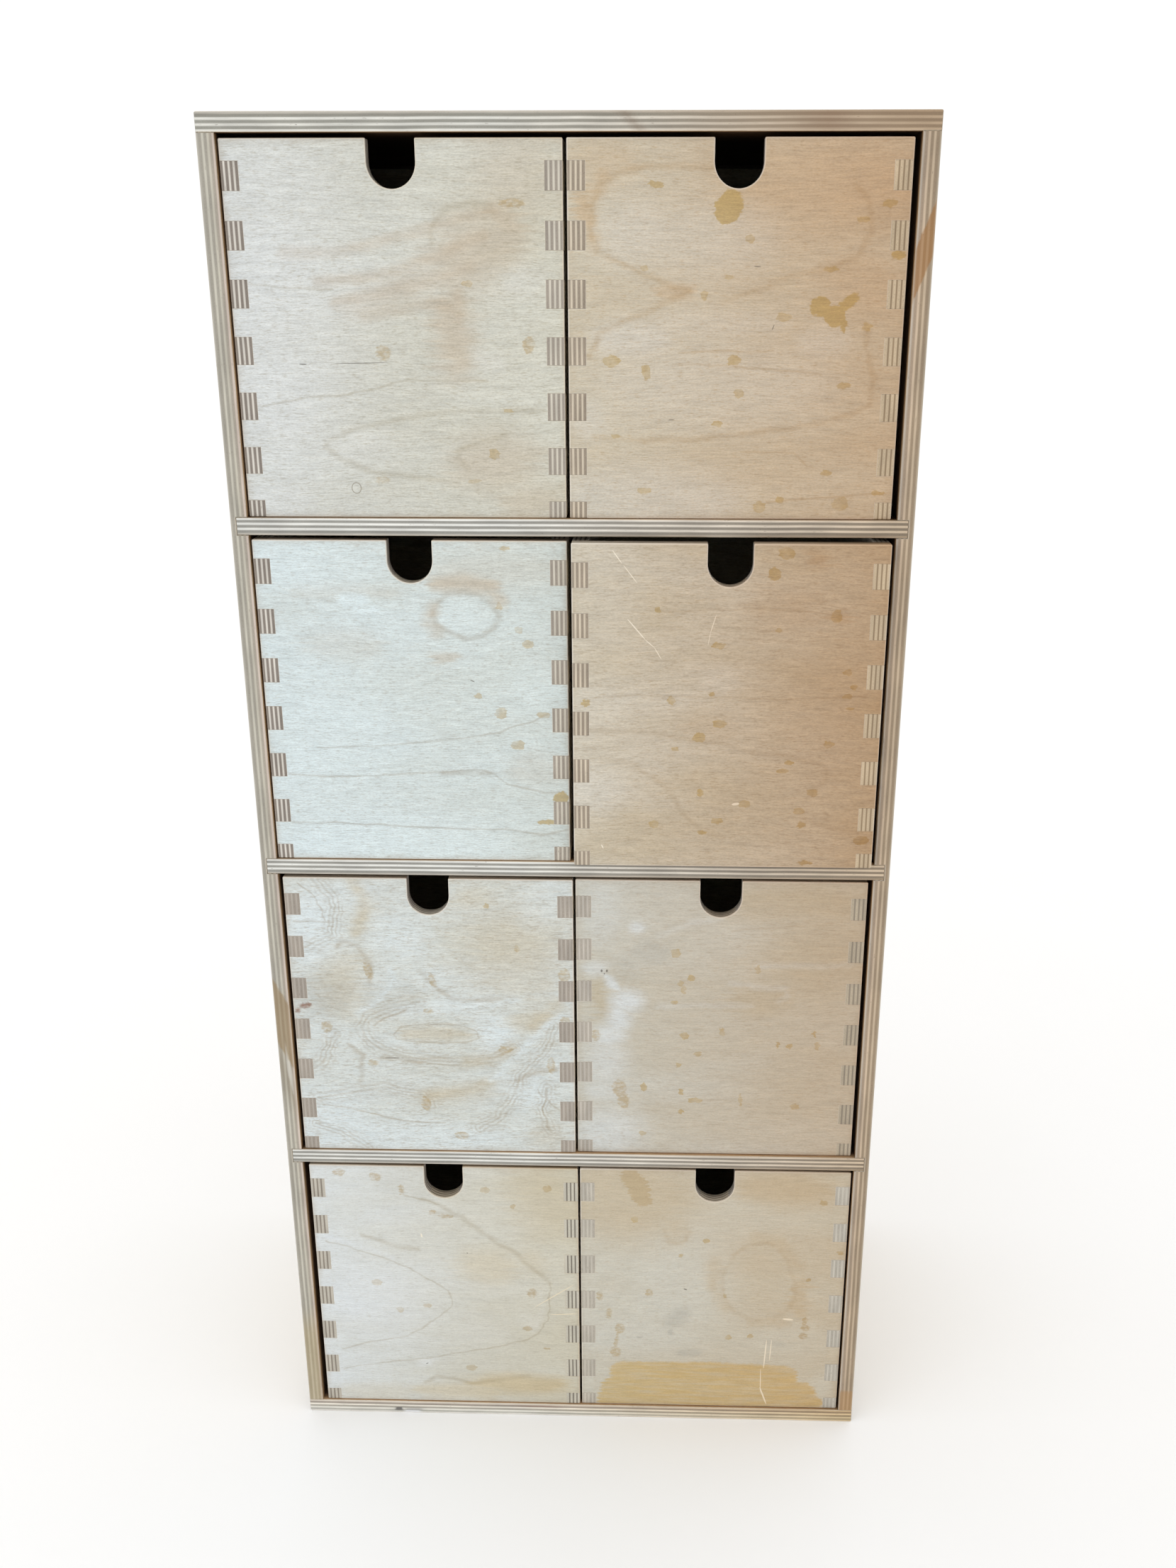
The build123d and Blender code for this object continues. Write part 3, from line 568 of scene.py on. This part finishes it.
        "spots": [(25.6, 73.3, 2.7, 1.9), (64.8, 74.9, 2.6, 2.2), (-46.4, 3.2, 3.2, 2.2), (-32, -17.6, 2.1, 1.8),
            (-14.4, -14.1, 2.6, 1.4), (50.4, -30.4, 2.9, 1.6), (42.9, 61.6, 1.3, 1.4), (62.7, -46.1, 1.9, 0.8),
            (12.8, -62.4, 3.2, 2.2)],
        "scratches": [(68, -4.8, 15.5, 0.28, 35), (74, -18.8, 8.4, 0.3, 3), (-15.7, 39.2, 1.6, 0.5, -79)],
        "marks": [(-16.5, -59.6, 0.9, 0.3, 27), (13, 26.6, 0.5, 0.3, -27)],
    },
    "4b": {
        "clouds": [(-23.7, 46.2, 8.3, 12, 0.45), (29.1, 7, 22.4, 25.6, 0.25), (0.3, 15, 6.4, 14.4, 0.4),
            (55.5, -4.2, 6.4, 16, 0.45), (45.1, 77.4, 32, 12.8, 0.5), (35.5, -10.6, 19.2, 9.6, 0.2),
            (-62.1, 71, 52.8, 30.4, 0.48)],
        "pales": [(-17.3, 8.6, 27.2, 35.2, 0.5), (-47.7, -37, 40, 14.4, 0.5), (57.9, -36.2, 28.8, 11.2, 0.35),
            (73.9, -73, 6.4, 9.6, 0.7)],
        "soft": [(0, -31, 45, -29, 38, -23, 36, -17, 38, -15, 45), (0, 8, 17, 13, 28, 23, 36, 34, 38, 42, 34, 48, 23,
            52, 10, 53, -4, 48, -14, 39, -20, 26, -21, 15, -15, 8, -4, 6, 5, 8, 17)],
        "broad": [(0, -1, 21, 1, 2, 10, -12), (0, 26, 42, 42, 39, 55, 21), (0, 26, -22, 47, -22)],
        "tides": [(5.4, -53, 87, -49, 77, -45, 69), (3.5, -44, 74, -47, 82)],
        "washes": [(8.3, -57, -64, -6, -63, 49, -65), (9.6, -62, -78, -6, -76, 60, -79),
            (6.4, -67, -85, -6, -86, 68, -86)],
        "tints": [(-66.1, -17.8, 1.8, 3.8), (-58.9, -29.3, 2.9, 3.8), (-61.3, -39.4, 0.8, 6.7, -8),
            (-61.8, -47.7, 3.2, 4.2), (-72, -4.6, 1.9, 2.9), (60.3, -21, 1.4, 3.5), (60.8, -26.1, 2.7, 2.2),
            (59.8, -32.6, 2.6, 2.1), (-40, -1, 2.1, 2.6)],
        "spots": [(68, 67.8, 2.6, 1.4), (80.3, 31.4, 1.9, 1.3), (-49.6, 53.4, 2.2, 1.9), (61.1, 10.6, 1.4, 1),
            (-4.5, 38.6, 1.9, 1.4), (-20.2, 27.4, 1.4, 1), (8.3, -2.6, 1.3, 1.3), (25.6, -33.3, 1.8, 1.4),
            (11.5, -34.6, 1.9, 1.9)],
        "smudges": [(-22.1, -20.2, 9.6, 5.6, 0.36, 40), (-14.1, -47.4, 8, 2.6, 0.4), (-26.1, -31.4, 2.1, 1.9, 0.55),
            (-46.1, -35.7, 1.9, 0.8, 0.5), (41.9, -39.4, 6.4, 2.6, 0.25)],
        "scratches": [(49.4, -19.8, 3.4, 0.7, -4), (35.7, -47.4, 11.2, 0.4, -93), (35.5, -80.6, 7.2, 0.5, -71),
            (39.1, -44.2, 8, 0.3, -93), (33.4, -68.6, 9.2, 0.25, -89)],
        "marks": [(-79.6, 16.9, 3.8, 0.45, -94), (-17, 1.8, 1.1, 0.4, -25)],
    },
}

# Wood common to all the panels; each stock below changes some of it
bareBirch = {
    "pale": "#d3c9b6", "tan": "#c8b99f", "cloud": "#bfa88a", "white": "#d8d7d0", "ring": "#a8916d",
    "smudge": "#a3a49e", "ringGap": 17, "ringShare": 0.3, "cloudShare": 0.5, "fibreShare": 0.11, "poreShare": 0.5,
    "lineShare": 1.0, "grime": 0.2, "grimeTone": "#a8977c", "speck": "#5a4b3c", "plyCount": 7, "plies": (1.6, 0.87),
    "sideTones": ["#cfc7b6", "#8d8273"], "endTones": ["#7d7268", "#cfc8bc"], "yellowed": "#ffffff",
    "yellowFrom": 0.0, "yellowFace": 1.0, "dimNear": "#ffffff", "dim": "#ffffff",
    "edgeShare": 0.22, "rough": 0.5, "bump": 0.25, "spotShare": 1.0, "arris": "#e8e0d2", "arrisShare": 0.2,
}

# Tones of the eight fronts, pale and cool on the left, warmer on the right: partly each veneer's own tone and partly
# painted light, a cool sheen on the left column and warm light on the right; the last is the painted warm light toward
# each front's right
toneNames = ("pale", "tan", "cloud", "white", "ring", "yellowed")
frontTones = {
    "1a": ("#cdd0cd", "#c4c4bb", "#b9a893", "#d3d6d6", "#9c937d", "#fcf6e8"),
    "1b": ("#c4bba7", "#bfb096", "#bda17b", "#ccc8bd", "#a68c63", "#f3decc"),
    "2a": ("#ccd7d8", "#c7ceca", "#bcb09d", "#d5e2e5", "#9e988b", "#fffcf7"),
    "2b": ("#c6bead", "#bcae93", "#b49a75", "#cecabf", "#9d8867", "#e1c3a5"),
    "3a": ("#cdd3d1", "#c4c4b8", "#bcae90", "#d6e0e3", "#968364", "#ffffff"),
    "3b": ("#c2c1b7", "#bbb4a2", "#b3a485", "#d0d6d7", "#a18c6d", "#f5e1cf"),
    "4a": ("#d4d9da", "#cccdc5", "#cdbb90", "#dae0e5", "#a0957c", "#f0e5d0"),
    "4b": ("#c6c4b8", "#c1b8a5", "#baa580", "#caccc5", "#a48d68", "#f6e8d8"),
}
frontShares = {
    "1a": {"lineShare": 0.75, "spotShare": 0.8}, "1b": {"lineShare": 0.8}, "2a": {"spotShare": 0.85},
    "2b": {"lineShare": 0.6, "spotShare": 1.15}, "3a": {"lineShare": 0.85},
    "3b": {"lineShare": 0.5, "fibreShare": 0.08, "poreShare": 0.35},
    "4a": {"lineShare": 0.8, "fibreShare": 0.07, "poreShare": 0.3, "spotShare": 0.7},
    "4b": {"lineShare": 0.5, "fibreShare": 0.08, "poreShare": 0.35},
}

# Ends of the drawer sides' fingers, from dark lined to nearly plain, and which drawer has which, left and right
fingerEnds = {
    "lined": {"endTones": ["#847a70", "#d9d3c8"]},
    "warm": {"endTones": ["#9a8c7a", "#d2c4ae"]},
    "mist": {"endTones": ["#aca396", "#c0b8ac"]},
    "soft": {"endTones": ["#9d9386", "#d1c9b9"]},
    "cream": {"endTones": ["#c3ad8e", "#8e7759"], "plies": (1.85, 0.53)},
    "dusk": {"endTones": ["#a0968a", "#b3aa9e"]},
    "dull": {"endTones": ["#b3a48d", "#8c7f6d"], "plies": (1.7, 0.73)},
    "slate": {"endTones": ["#bfb8aa", "#857b6e"], "plies": (1.75, 0.67)},
    "ruled": {"endTones": ["#c6c0b0", "#6f675b"], "plies": (1.85, 0.53)},
    "faint": {"endTones": ["#b3ab9d", "#c6bfb1"]},
}
fingerKinds = {
    "1a": ("lined", "soft"), "1b": ("warm", "cream"), "2a": ("lined", "soft"), "2b": ("warm", "cream"),
    "3a": ("dusk", "dusk"), "3b": ("mist", "dull"), "4a": ("slate", "ruled"), "4b": ("faint", "faint"),
}

# Wood of the case: edge tones from the lowest or leftmost ply on, worn lengths of the edges, and a few old stains and
# scratches on the outside, in mm along the grain and across it
caseBirch = {
    "plies": (1.1, 1.53), "endTones": ["#9a8f80", "#d0c6b4"], "edgeShare": 0.16, "ringShare": 0.42,
    # painted shade on the inner faces, warm brown near the front and dark deeper in; painted warm light from 0.4 of the
    # way across to the right, a fifth as strong on the faces as on the edges
    "yellowFrom": 0.4, "yellowFace": 0.2, "dimNear": "#dfc0a0", "dim": "#4f3b2b",
}
caseLooks = {
    "case top": {
        "yellowed": "#ead2b8",
        "sideTones": ["#e0ded5", "#97958b", "#dad8cf", "#97958b", "#e0ded5", "#8f8c81", "#b5afa3"],
        "stains": [("#a08d75", 70, 200, 50, 0.5, 0), ("#6f5740", 29, 34, 4, 0.4, 1),
                   ("#7d5b41", 118, 134, 12, 0.3, 0)],
        "marks": {"spots": [(-92, 34, 2.2, 1.6), (-40, -52, 1.5, 1.2, 20), (66, 18, 2.6, 1.7), (118, -70, 1.4, 1)],
                  "scratches": [(-20, 40, 24, 0.2, 12), (84, -30, 15, 0.25, -38), (-120, -60, 9, 0.2, 64)]},
    },
    "shelves": {
        "yellowed": "#ead2b8",
        "sideTones": ["#b9b4a9", "#94928a", "#e6e5de", "#94928a", "#e6e5de", "#94928a", "#e6e5de"],
    },
    "case bottom": {
        "yellowed": "#efd8b2",
        "sideTones": ["#f0ede5", "#bab7ad", "#ebe8dd", "#ada79b", "#f0e9db", "#a0968a", "#d5cabb"],
        "stains": [("#2f2a2b", -123, -118, 1.2, 0.8, 0, -2.6, -0.2), ("#5d5a63", -116, -105, 2, 0.45, 0, -2.2, -1),
                   ("#f3f5fa", -117, -106, 2, 0.7, 0, -4.4, -2.6), ("#8a5a44", -40, -14, 8, 0.35, 0, 2, 3.4)],
    },
    "case left side": {
        "sideTones": ["#a9a498", "#a09a8d", "#c4bfb0", "#a09a8d", "#c1bbab", "#a69d8f", "#cdbdb0"],
        "stains": [("#8e7346", -122, -79, 2, 0.62, 2), ("#8f7d5f", -152, -124, 14, 0.3, 3),
                   ("#dcd9d0", -132, -114, 5, 0.45, 6, 0, 3), ("#b39c68", -390, -314, 14, 0.4, 0)],
        "marks": {"spots": [(232, -70, 1.9, 1.4), (40, 22, 2.4, 1.6, 15), (-118, -94, 1.6, 1.2), (-260, 36, 2.8, 1.5)],
                  "scratches": [(120, -20, 20, 0.2, 8), (-200, 50, 13, 0.25, -25)]},
    },
    "case right side": {
        "pale": "#cbbda6", "tan": "#bfaa8a", "ring": "#a0845c",
        "sideTones": ["#b3a493", "#a08c76", "#c6b096", "#99856c", "#c2ad92", "#99856c", "#a3927a"],
        "stains": [("#946425", 312, 337, 1.5, 0.68, -2.5), ("#ab8049", -400, -362, 2, 0.55, 0)],
        "marks": {"spots": [(210, -60, 2.4, 1.8), (150, 36, 1.6, 1.2, 20), (-44, -88, 2.1, 1.3), (-252, 40, 3, 1.9)],
                  "scratches": [(60, 24, 22, 0.2, 14), (-184, -50, 15, 0.2, -30), (262, -12, 9, 0.2, 70)]},
    },
}

frontWood = {
    place: plywood(f"birch plywood, drawer front {place}", {
        **bareBirch, **dict(zip(toneNames, tones)), **frontShares[place], "ringShare": 0.08, "cloudShare": 0.6,
        "arrisShare": 0.75, "marks": frontMarks[place]})
    for place, tones in frontTones.items()
}
sideWood = {kind: plywood(f"birch plywood, drawer side {kind}", {**bareBirch, **ends})
            for kind, ends in fingerEnds.items()}
backWood = plywood("birch plywood, drawer back", bareBirch)
thinBirch = {**bareBirch, "plyCount": 3, "plies": (1.2, 1.6)}
floorWood = plywood("thin birch plywood, drawer bottom", {**thinBirch, "pale": "#dccbb0", "tan": "#cfb893"})
panelWood = {label: plywood("birch plywood, " + label, {**bareBirch, **caseBirch, **look})
             for label, look in caseLooks.items()}
# the case back's faces inside the case take the dark painted shade all over
rearWood = plywood("thin birch plywood, case back", {
    **thinBirch, "pale": "#d6c3a4", "tan": "#c6ab82", "ringGap": 24,
    "dimNear": caseBirch["dim"], "dim": caseBirch["dim"]})
print("plywood mixed")

# Easing of the arrises in mm, the angles in degrees that count as flat or sharp, and how the outer skin is told
easing = {"corner": 0.7, "rim": 0.6, "joint": 0.12, "segments": 2, "notchReach": 20, "near": 0.02, "weld": 0.005,
          "flat": 1, "sharp": 25, "skin": 1.05, "lean": 0.3}
# Which of the node's axes run along, across and through the veneer
grainAxes = {"end": "xzy", "side": "yzx", "level": "xyz", "upright": "zyx", "bottom": "yxz", "rear": "zxy"}


def extent(points):
    # lowest and highest corner around some points
    return [Vector([pick(point[axis] for point in points) for axis in range(3)]) for pick in (min, max)]


def linked(name, data):
    # a new object in the scene
    made = bpy.data.objects.new(name, data)
    bpy.context.scene.collection.objects.link(made)
    return made


def taken(holder):
    # the mesh that an object's modifiers give, without the object
    depsgraph = bpy.context.evaluated_depsgraph_get()
    mesh = bpy.data.meshes.new_from_object(holder.evaluated_get(depsgraph))
    bpy.data.objects.remove(holder)
    return mesh


# box of everything on each body, staples left out
boxes = {body: extent([corner for name, node in frame["nodes"].items()
                       if node["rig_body"] == body and name != "back_staples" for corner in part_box(name)])
         for body in frame["bodies"]}


def woodPiece(node, grain, material, lot):
    # the CAD panel again with its arrises eased, and the wood's own coordinates stored on its mesh
    source = frame["nodes"][node]
    body = source["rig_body"]
    low, high = boxes[body]
    bm = bmesh.new()
    bm.from_mesh(source.data)
    bmesh.ops.remove_doubles(bm, verts=bm.verts, dist=easing["weld"] * mm)
    bmesh.ops.dissolve_limit(bm, angle_limit=math.radians(easing["flat"]), verts=bm.verts, edges=bm.edges)
    weights = bm.edges.layers.float.new("bevel_weight_edge")
    middle = (low[0] + high[0]) / 2
    near = easing["near"] * mm
    for edge in bm.edges:
        edge.smooth = True
        if len(edge.link_faces) != 2 or edge.calc_face_angle(0) < math.radians(easing["sharp"]):
            continue
        ends = [vert.co for vert in edge.verts]
        touching = sum(all(abs(co[axis] - side[axis]) < near for co in ends)
                       for axis in range(3) for side in (low, high))
        atNotch = "front" in node and all(abs(co.x - middle) < easing["notchReach"] * mm for co in ends)
        onTop = all(abs(co.z - high[2]) < near for co in ends)
        atFace = body == "case" and all(abs(co.y - low[1]) < near for co in ends)
        if touching > 1:
            ease = easing["corner"]
        elif atNotch or (touching and (onTop or atFace)):
            ease = easing["rim"]
        else:
            ease = easing["joint"] if touching else 0
        edge[weights] = ease / easing["corner"]
        edge.smooth = ease > 0
    for face in bm.faces:
        face.smooth = True
    draft = bpy.data.meshes.new(node + "_draft")
    bm.to_mesh(draft)
    bm.free()
    blank = linked(node + "_draft", draft)
    bevel = blank.modifiers.new("eased arrises", "BEVEL")
    bevel.limit_method = "WEIGHT"
    bevel.width = easing["corner"] * mm
    bevel.segments = easing["segments"]
    bevel.harden_normals = True
    mesh = taken(blank)
    bpy.data.meshes.remove(draft)

    nodeLow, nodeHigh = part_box(node)
    centre = (nodeLow + nodeHigh) / 2
    axes = ["xyz".index(letter) for letter in grainAxes[grain]]
    verts, faces = mesh.vertices, mesh.polygons
    skin = easing["skin"] * mm
    # faces inside the case, which take painted shade, darker the deeper they lie behind the front
    inside = [float(body == "case" and not any(
        face.normal[axis] * sign > easing["lean"] and abs(face.center[axis] - side[axis]) < skin
        for axis in range(3) for sign, side in ((-1, low), (1, high)))) for face in faces]
    values = {
        "plank": [(vert.co[axis] - centre[axis]) / mm for vert in verts for axis in axes],
        "half": [(nodeHigh[axis] - nodeLow[axis]) / 2 / mm for axis in axes] * len(verts),
        "cut": [abs(face.normal[axis]) for face in faces for axis in axes],
        "lot": [lot] * len(verts), "inside": inside, "deep": [(vert.co.y - low[1]) / mm for vert in verts],
        "aside": [(vert.co.x - low[0]) / (high[0] - low[0]) for vert in verts],
    }
    for label, give in woodData.items():
        kind, key = ("FLOAT_VECTOR", "vector") if give == "Vector" else ("FLOAT", "value")
        domain = "FACE" if label in ("cut", "inside") else "POINT"
        mesh.attributes.new(label, kind, domain).data.foreach_set(key, values[label])
    mesh.materials.clear()
    mesh.materials.append(material)
    piece = linked(node + "_wood", mesh)
    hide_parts(node)
    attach(piece, body)


# Lots of wood that the panels are cut from, so that no two show the same figure
lots = {"case": 3.7, "caseStep": 1.9, "rear": 0.6, "frontStep": 0.5, "drawer": 20, "row": 7.3, "column": 3.1,
        "back": 0.7, "left": 1.3, "right": 2.2, "bottom": 2.9}
casePanels = {
    "case_top": ("level", "case top"), "upper_shelf": ("level", "shelves"), "middle_shelf": ("level", "shelves"),
    "lower_shelf": ("level", "shelves"), "case_bottom": ("level", "case bottom"),
    "case_left_side": ("upright", "case left side"), "case_right_side": ("upright", "case right side"),
}
for count, (node, (grain, wood)) in enumerate(casePanels.items()):
    woodPiece(node, grain, panelWood[wood], lots["case"] + lots["caseStep"] * count)
woodPiece("back_panel", "rear", rearWood, lots["rear"])
print("case panels made")

for place in frontTones:
    row, column = int(place[0]), "ab".index(place[1])
    name = "drawer_" + place
    lot = lots["drawer"] + lots["row"] * row + lots["column"] * column
    woodPiece(name + "_front", "end", frontWood[place], row + lots["frontStep"] * column)
    woodPiece(name + "_back", "end", backWood, lot + lots["back"])
    for hand, kind in zip(("left", "right"), fingerKinds[place]):
        woodPiece(f"{name}_{hand}_side", "side", sideWood[kind], lot + lots[hand])
    woodPiece(name + "_bottom", "bottom", floorWood, lot + lots["bottom"])
print("drawers made")

# Staples over the back and dowels in the case corners, made by Geometry Nodes where the frame has them; tones, the
# noise's grain in mm and the roughness are for their materials
staple = {"Crown": 10 * mm, "Wire": 1.2 * mm, "Leg": 12 * mm, "rounded": 0.25, "tones": ("#c2c1bd", "#8d8a84"),
          "grain": (2, 1, 2), "shader": {"Metallic": 1.0}, "rough": (0.28, 0.5)}
dowel = {"Diameter": 5 * mm, "Length": 22 * mm, "Flutes": 14, "perFlute": 4, "fluteGirth": 0.93, "rings": 24,
         "chamfer": (0.455, 0.5, 1.0, 0.8), "tones": ("#d9bf9a", "#c3a276"), "grain": (0.6, 0.6, 6), "shader": {},
         "rough": (0.5, 0.66)}
plain = {"Detail": 3, "Rough": 0.6, "span": (0.3, 0.7), "bump": 0.2, "depth": 0.05}


def plainMaterial(name, look):
    # two tones by a noise with its grain in mm, which also sets the roughness and a little relief
    material, add, shader = newMaterial(name)
    spot = add("TexCoord", give="Object")
    cloudy = add("Group", {"Coord": spot, "Size": [size * mm for size in look["grain"]],
                           "Detail": plain["Detail"], "Rough": plain["Rough"]}, node_tree=grainGroup)
    colour = layered(add, tint(look["tones"][0]), [(cloudy, look["tones"][1])])
    roughness = add("MapRange", (cloudy, *plain["span"], *look["rough"]))
    normal = add("Bump", {"Height": cloudy, "Strength": plain["bump"], "Distance": plain["depth"] * mm})
    for socket, value in look["shader"].items():
        shader[socket].default_value = value
    for socket, source in (("Base Color", colour), ("Roughness", roughness), ("Normal", normal)):
        material.node_tree.links.new(source, shader[socket])
    return material


# galvanised wire, drawn and flattened: grey with a broken shine
stapleSteel = plainMaterial("galvanised steel wire", staple)
# turned beech, pressed with flutes: even tan with short flecks
dowelBeech = plainMaterial("beech dowel", dowel)


def solidBoxes(node):
    # lowest and highest corner of each separate solid in a CAD node
    bm = bmesh.new()
    bm.from_mesh(frame["nodes"][node].data)
    bmesh.ops.remove_doubles(bm, verts=bm.verts, dist=easing["weld"] * mm)
    left = set(bm.verts)
    solids = []
    while left:
        reached = [left.pop()]
        for vert in reached:
            for edge in vert.link_edges:
                other = edge.other_vert(vert)
                if other in left:
                    left.discard(other)
                    reached.append(other)
        solids.append(extent([vert.co for vert in reached]))
    bm.free()
    return sorted(solids, key=lambda solid: [round(x, 4) for x in solid[0]])


def setOut(node, tree, sizes, spots):
    # runs a tree on points that each have a facing, and keeps the result as one plain mesh
    cloud = bpy.data.meshes.new(node + "_points")
    cloud.from_pydata([spot for spot, facing in spots], [], [])
    turns = [angle for spot, facing in spots for angle in facing]
    cloud.attributes.new("facing", "FLOAT_VECTOR", "POINT").data.foreach_set("vector", turns)
    holder = linked(node + "_points", cloud)
    maker = holder.modifiers.new(tree.name, "NODES")
    maker.node_group = tree
    for socket in tree.interface.items_tree:
        if socket.in_out == "INPUT" and socket.name in sizes:
            maker[socket.identifier] = sizes[socket.name]
    piece = linked(node + "_set", taken(holder))
    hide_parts(node)
    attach(piece, "case")


def instanced(add, spots, shape, material):
    # the shape on every point, turned as its facing says, realized and given its material
    facing = add("GeometryNodeInputNamedAttribute", {"Name": "facing"}, data_type="FLOAT_VECTOR")
    facing = add("FunctionNodeEulerToRotation", (facing,))
    placed = add("GeometryNodeInstanceOnPoints", {"Points": spots, "Instance": shape, "Rotation": facing})
    whole = add("GeometryNodeRealizeInstances", (placed,))
    add("NodeGroupOutput", (add("GeometryNodeSetMaterial", {"Geometry": whole, "Material": material}),))


tree, add, given = newGroup(
    "wire staples", "GeometryNodeTree",
    {"Geometry": "Geometry", "Crown": "Float", "Wire": "Float", "Leg": "Float"}, {"Geometry": "Geometry"})
# a U through four points: leg end, corner, corner, leg end
line = add("GeometryNodeCurvePrimitiveLine")
line = add("GeometryNodeResampleCurve", {"Curve": line, "Count": 4})
offset = add("Math SUBTRACT", (add("GeometryNodeInputIndex"), 1.5))
span = add("Math SUBTRACT", (given["Crown"], given["Wire"]))
sideways = folded(add, "Math MULTIPLY", (add("Math SIGN", (offset,)), span, 0.5))
outer = add("Math GREATER_THAN", (add("Math ABSOLUTE", (offset,)), 1.0))
depth = folded(add, "Math MULTIPLY", (outer, -1.0, given["Leg"]))
corners = add("CombineXYZ", (sideways, depth, 0.0))
bent = add("GeometryNodeSetPosition", {"Geometry": line, "Position": corners})
bent = add("GeometryNodeFilletCurve", {"Curve": bent, "Count": 4, "Radius": given["Wire"]}, mode="POLY")
section = add("GeometryNodeCurvePrimitiveQuadrilateral", {"Width": given["Wire"], "Height": given["Wire"]})
roundness = add("Math MULTIPLY", (given["Wire"], staple["rounded"]))
section = add("GeometryNodeFilletCurve", {"Curve": section, "Count": 2, "Radius": roundness}, mode="POLY")
wire = add("GeometryNodeCurveToMesh", {"Curve": bent, "Profile Curve": section, "Fill Caps": True})
instanced(add, given["Geometry"], wire, stapleSteel)

spots = []
for low, high in solidBoxes("back_staples"):
    upright = high.z - low.z > high.x - low.x
    middle = (low + high) / 2
    spots.append(((middle.x, high.y - staple["Wire"] / 2, middle.z), (0, math.pi / 2 if upright else 0, 0)))
setOut("back_staples", tree, staple, spots)

tree, add, given = newGroup(
    "fluted dowels", "GeometryNodeTree",
    {"Geometry": "Geometry", "Diameter": "Float", "Length": "Float", "Flutes": "Int"}, {"Geometry": "Geometry"})
# a ring of points, every fourth pulled in for a flute, swept along a line whose ends are chamfered
radius = add("Math MULTIPLY", (given["Diameter"], 0.5))
ringPoints = add("Math MULTIPLY", (given["Flutes"], dowel["perFlute"]))
ring = add("GeometryNodeCurvePrimitiveCircle", {"Resolution": ringPoints, "Radius": radius})
turnOf = add("Math MODULO", (add("GeometryNodeInputIndex"), dowel["perFlute"]))
inward = add("MapRange", (turnOf, 0.0, 1.0, dowel["fluteGirth"], 1.0))
pulled = add("VectorMath SCALE", {0: add("GeometryNodeInputPosition"), "Scale": inward})
ring = add("GeometryNodeSetPosition", {"Geometry": ring, "Position": pulled})
ends = {end: add("CombineXYZ", {"Z": add("Math MULTIPLY", (given["Length"], share))})
        for end, share in (("Start", -0.5), ("End", 0.5))}
axis = add("GeometryNodeCurvePrimitiveLine", ends)
axis = add("GeometryNodeResampleCurve", {"Curve": axis, "Count": dowel["rings"]})
part = add("Math SUBTRACT", (add("GeometryNodeSplineParameter"), 0.5))
girth = add("MapRange", (add("Math ABSOLUTE", (part,)), *dowel["chamfer"]))
axis = add("GeometryNodeSetCurveRadius", {"Curve": axis, "Radius": girth})
rod = add("GeometryNodeCurveToMesh", {"Curve": axis, "Profile Curve": ring, "Scale": girth, "Fill Caps": True})
instanced(add, given["Geometry"], rod, dowelBeech)
spots = [(tuple((low + high) / 2), (0, 0, 0)) for low, high in solidBoxes("case_dowels")]
setOut("case_dowels", tree, dowel, spots)
print("staples and dowels set")

# Studio: a wide pale floor under an even white sky, and one soft lamp from the left
studio = {"floorHalf": 30.0, "tones": ("#ffffff", "#fdfdfc"), "grain": (300, 300, 300), "rough": (0.8, 0.9),
          "shader": {"Specular IOR Level": 0.0}, "skyTone": "#ffffff", "skyStrength": 1.03}
lamp = {"at": (-1.6, -2.0, 0.7), "aim": (0, 0, 0.4), "size": 1.8, "watts": 7, "tone": "#eef4ff"}
half = studio["floorHalf"]
floorMesh = bpy.data.meshes.new("studio_floor")
floorMesh.from_pydata([(-half, -half, 0), (half, -half, 0), (half, half, 0), (-half, half, 0)], [], [(0, 1, 2, 3)])
floorMesh.materials.append(plainMaterial("matt painted floor", studio))  # even white without a gleam
floor = linked("studio_floor", floorMesh)

world = bpy.data.worlds.new("soft studio")
bpy.context.scene.world = world
world.use_nodes = True
sky = world.node_tree.nodes["Background"].inputs
sky["Color"].default_value = tint(studio["skyTone"])
sky["Strength"].default_value = studio["skyStrength"]

light = bpy.data.lights.new("window_left", "AREA")
light.size = lamp["size"]
light.energy = lamp["watts"]
light.color = tint(lamp["tone"])[:3]
lampHolder = linked("window_left", light)
lampHolder.location = lamp["at"]
lampHolder.rotation_euler = (Vector(lamp["aim"]) - Vector(lamp["at"])).to_track_quat("-Z", "Y").to_euler()

# Camera at the photograph's place: degrees right, down and rolled, for the 1659 x 2212 image
shot = {"at": (0.0507, -0.9773, 0.6967), "yaw": -1.8, "down": 22.542, "roll": 0.019, "lens": 36.405, "sensor": 36,
        "clip": 0.02, "shift": (-0.0176, 0.1)}  # the shift is for the image having been cropped
camera = bpy.data.cameras.new("front_camera")
camera.sensor_width = shot["sensor"]
camera.lens = shot["lens"]
camera.shift_x, camera.shift_y = shot["shift"]
camera.clip_start = shot["clip"]
cameraHolder = linked("front_camera", camera)
cameraHolder.location = shot["at"]
yaw, down = math.radians(shot["yaw"]), math.radians(shot["down"])
forward = Vector((math.sin(yaw) * math.cos(down), math.cos(yaw) * math.cos(down), -math.sin(down)))
spin = forward.to_track_quat("-Z", "Y").to_matrix() @ Matrix.Rotation(math.radians(shot["roll"]), 3, "Z")
cameraHolder.rotation_euler = spin.to_euler()
bpy.context.scene.camera = cameraHolder
bpy.context.scene.view_settings.view_transform = "Standard"  # keeps the tones as they are given
print("studio set")
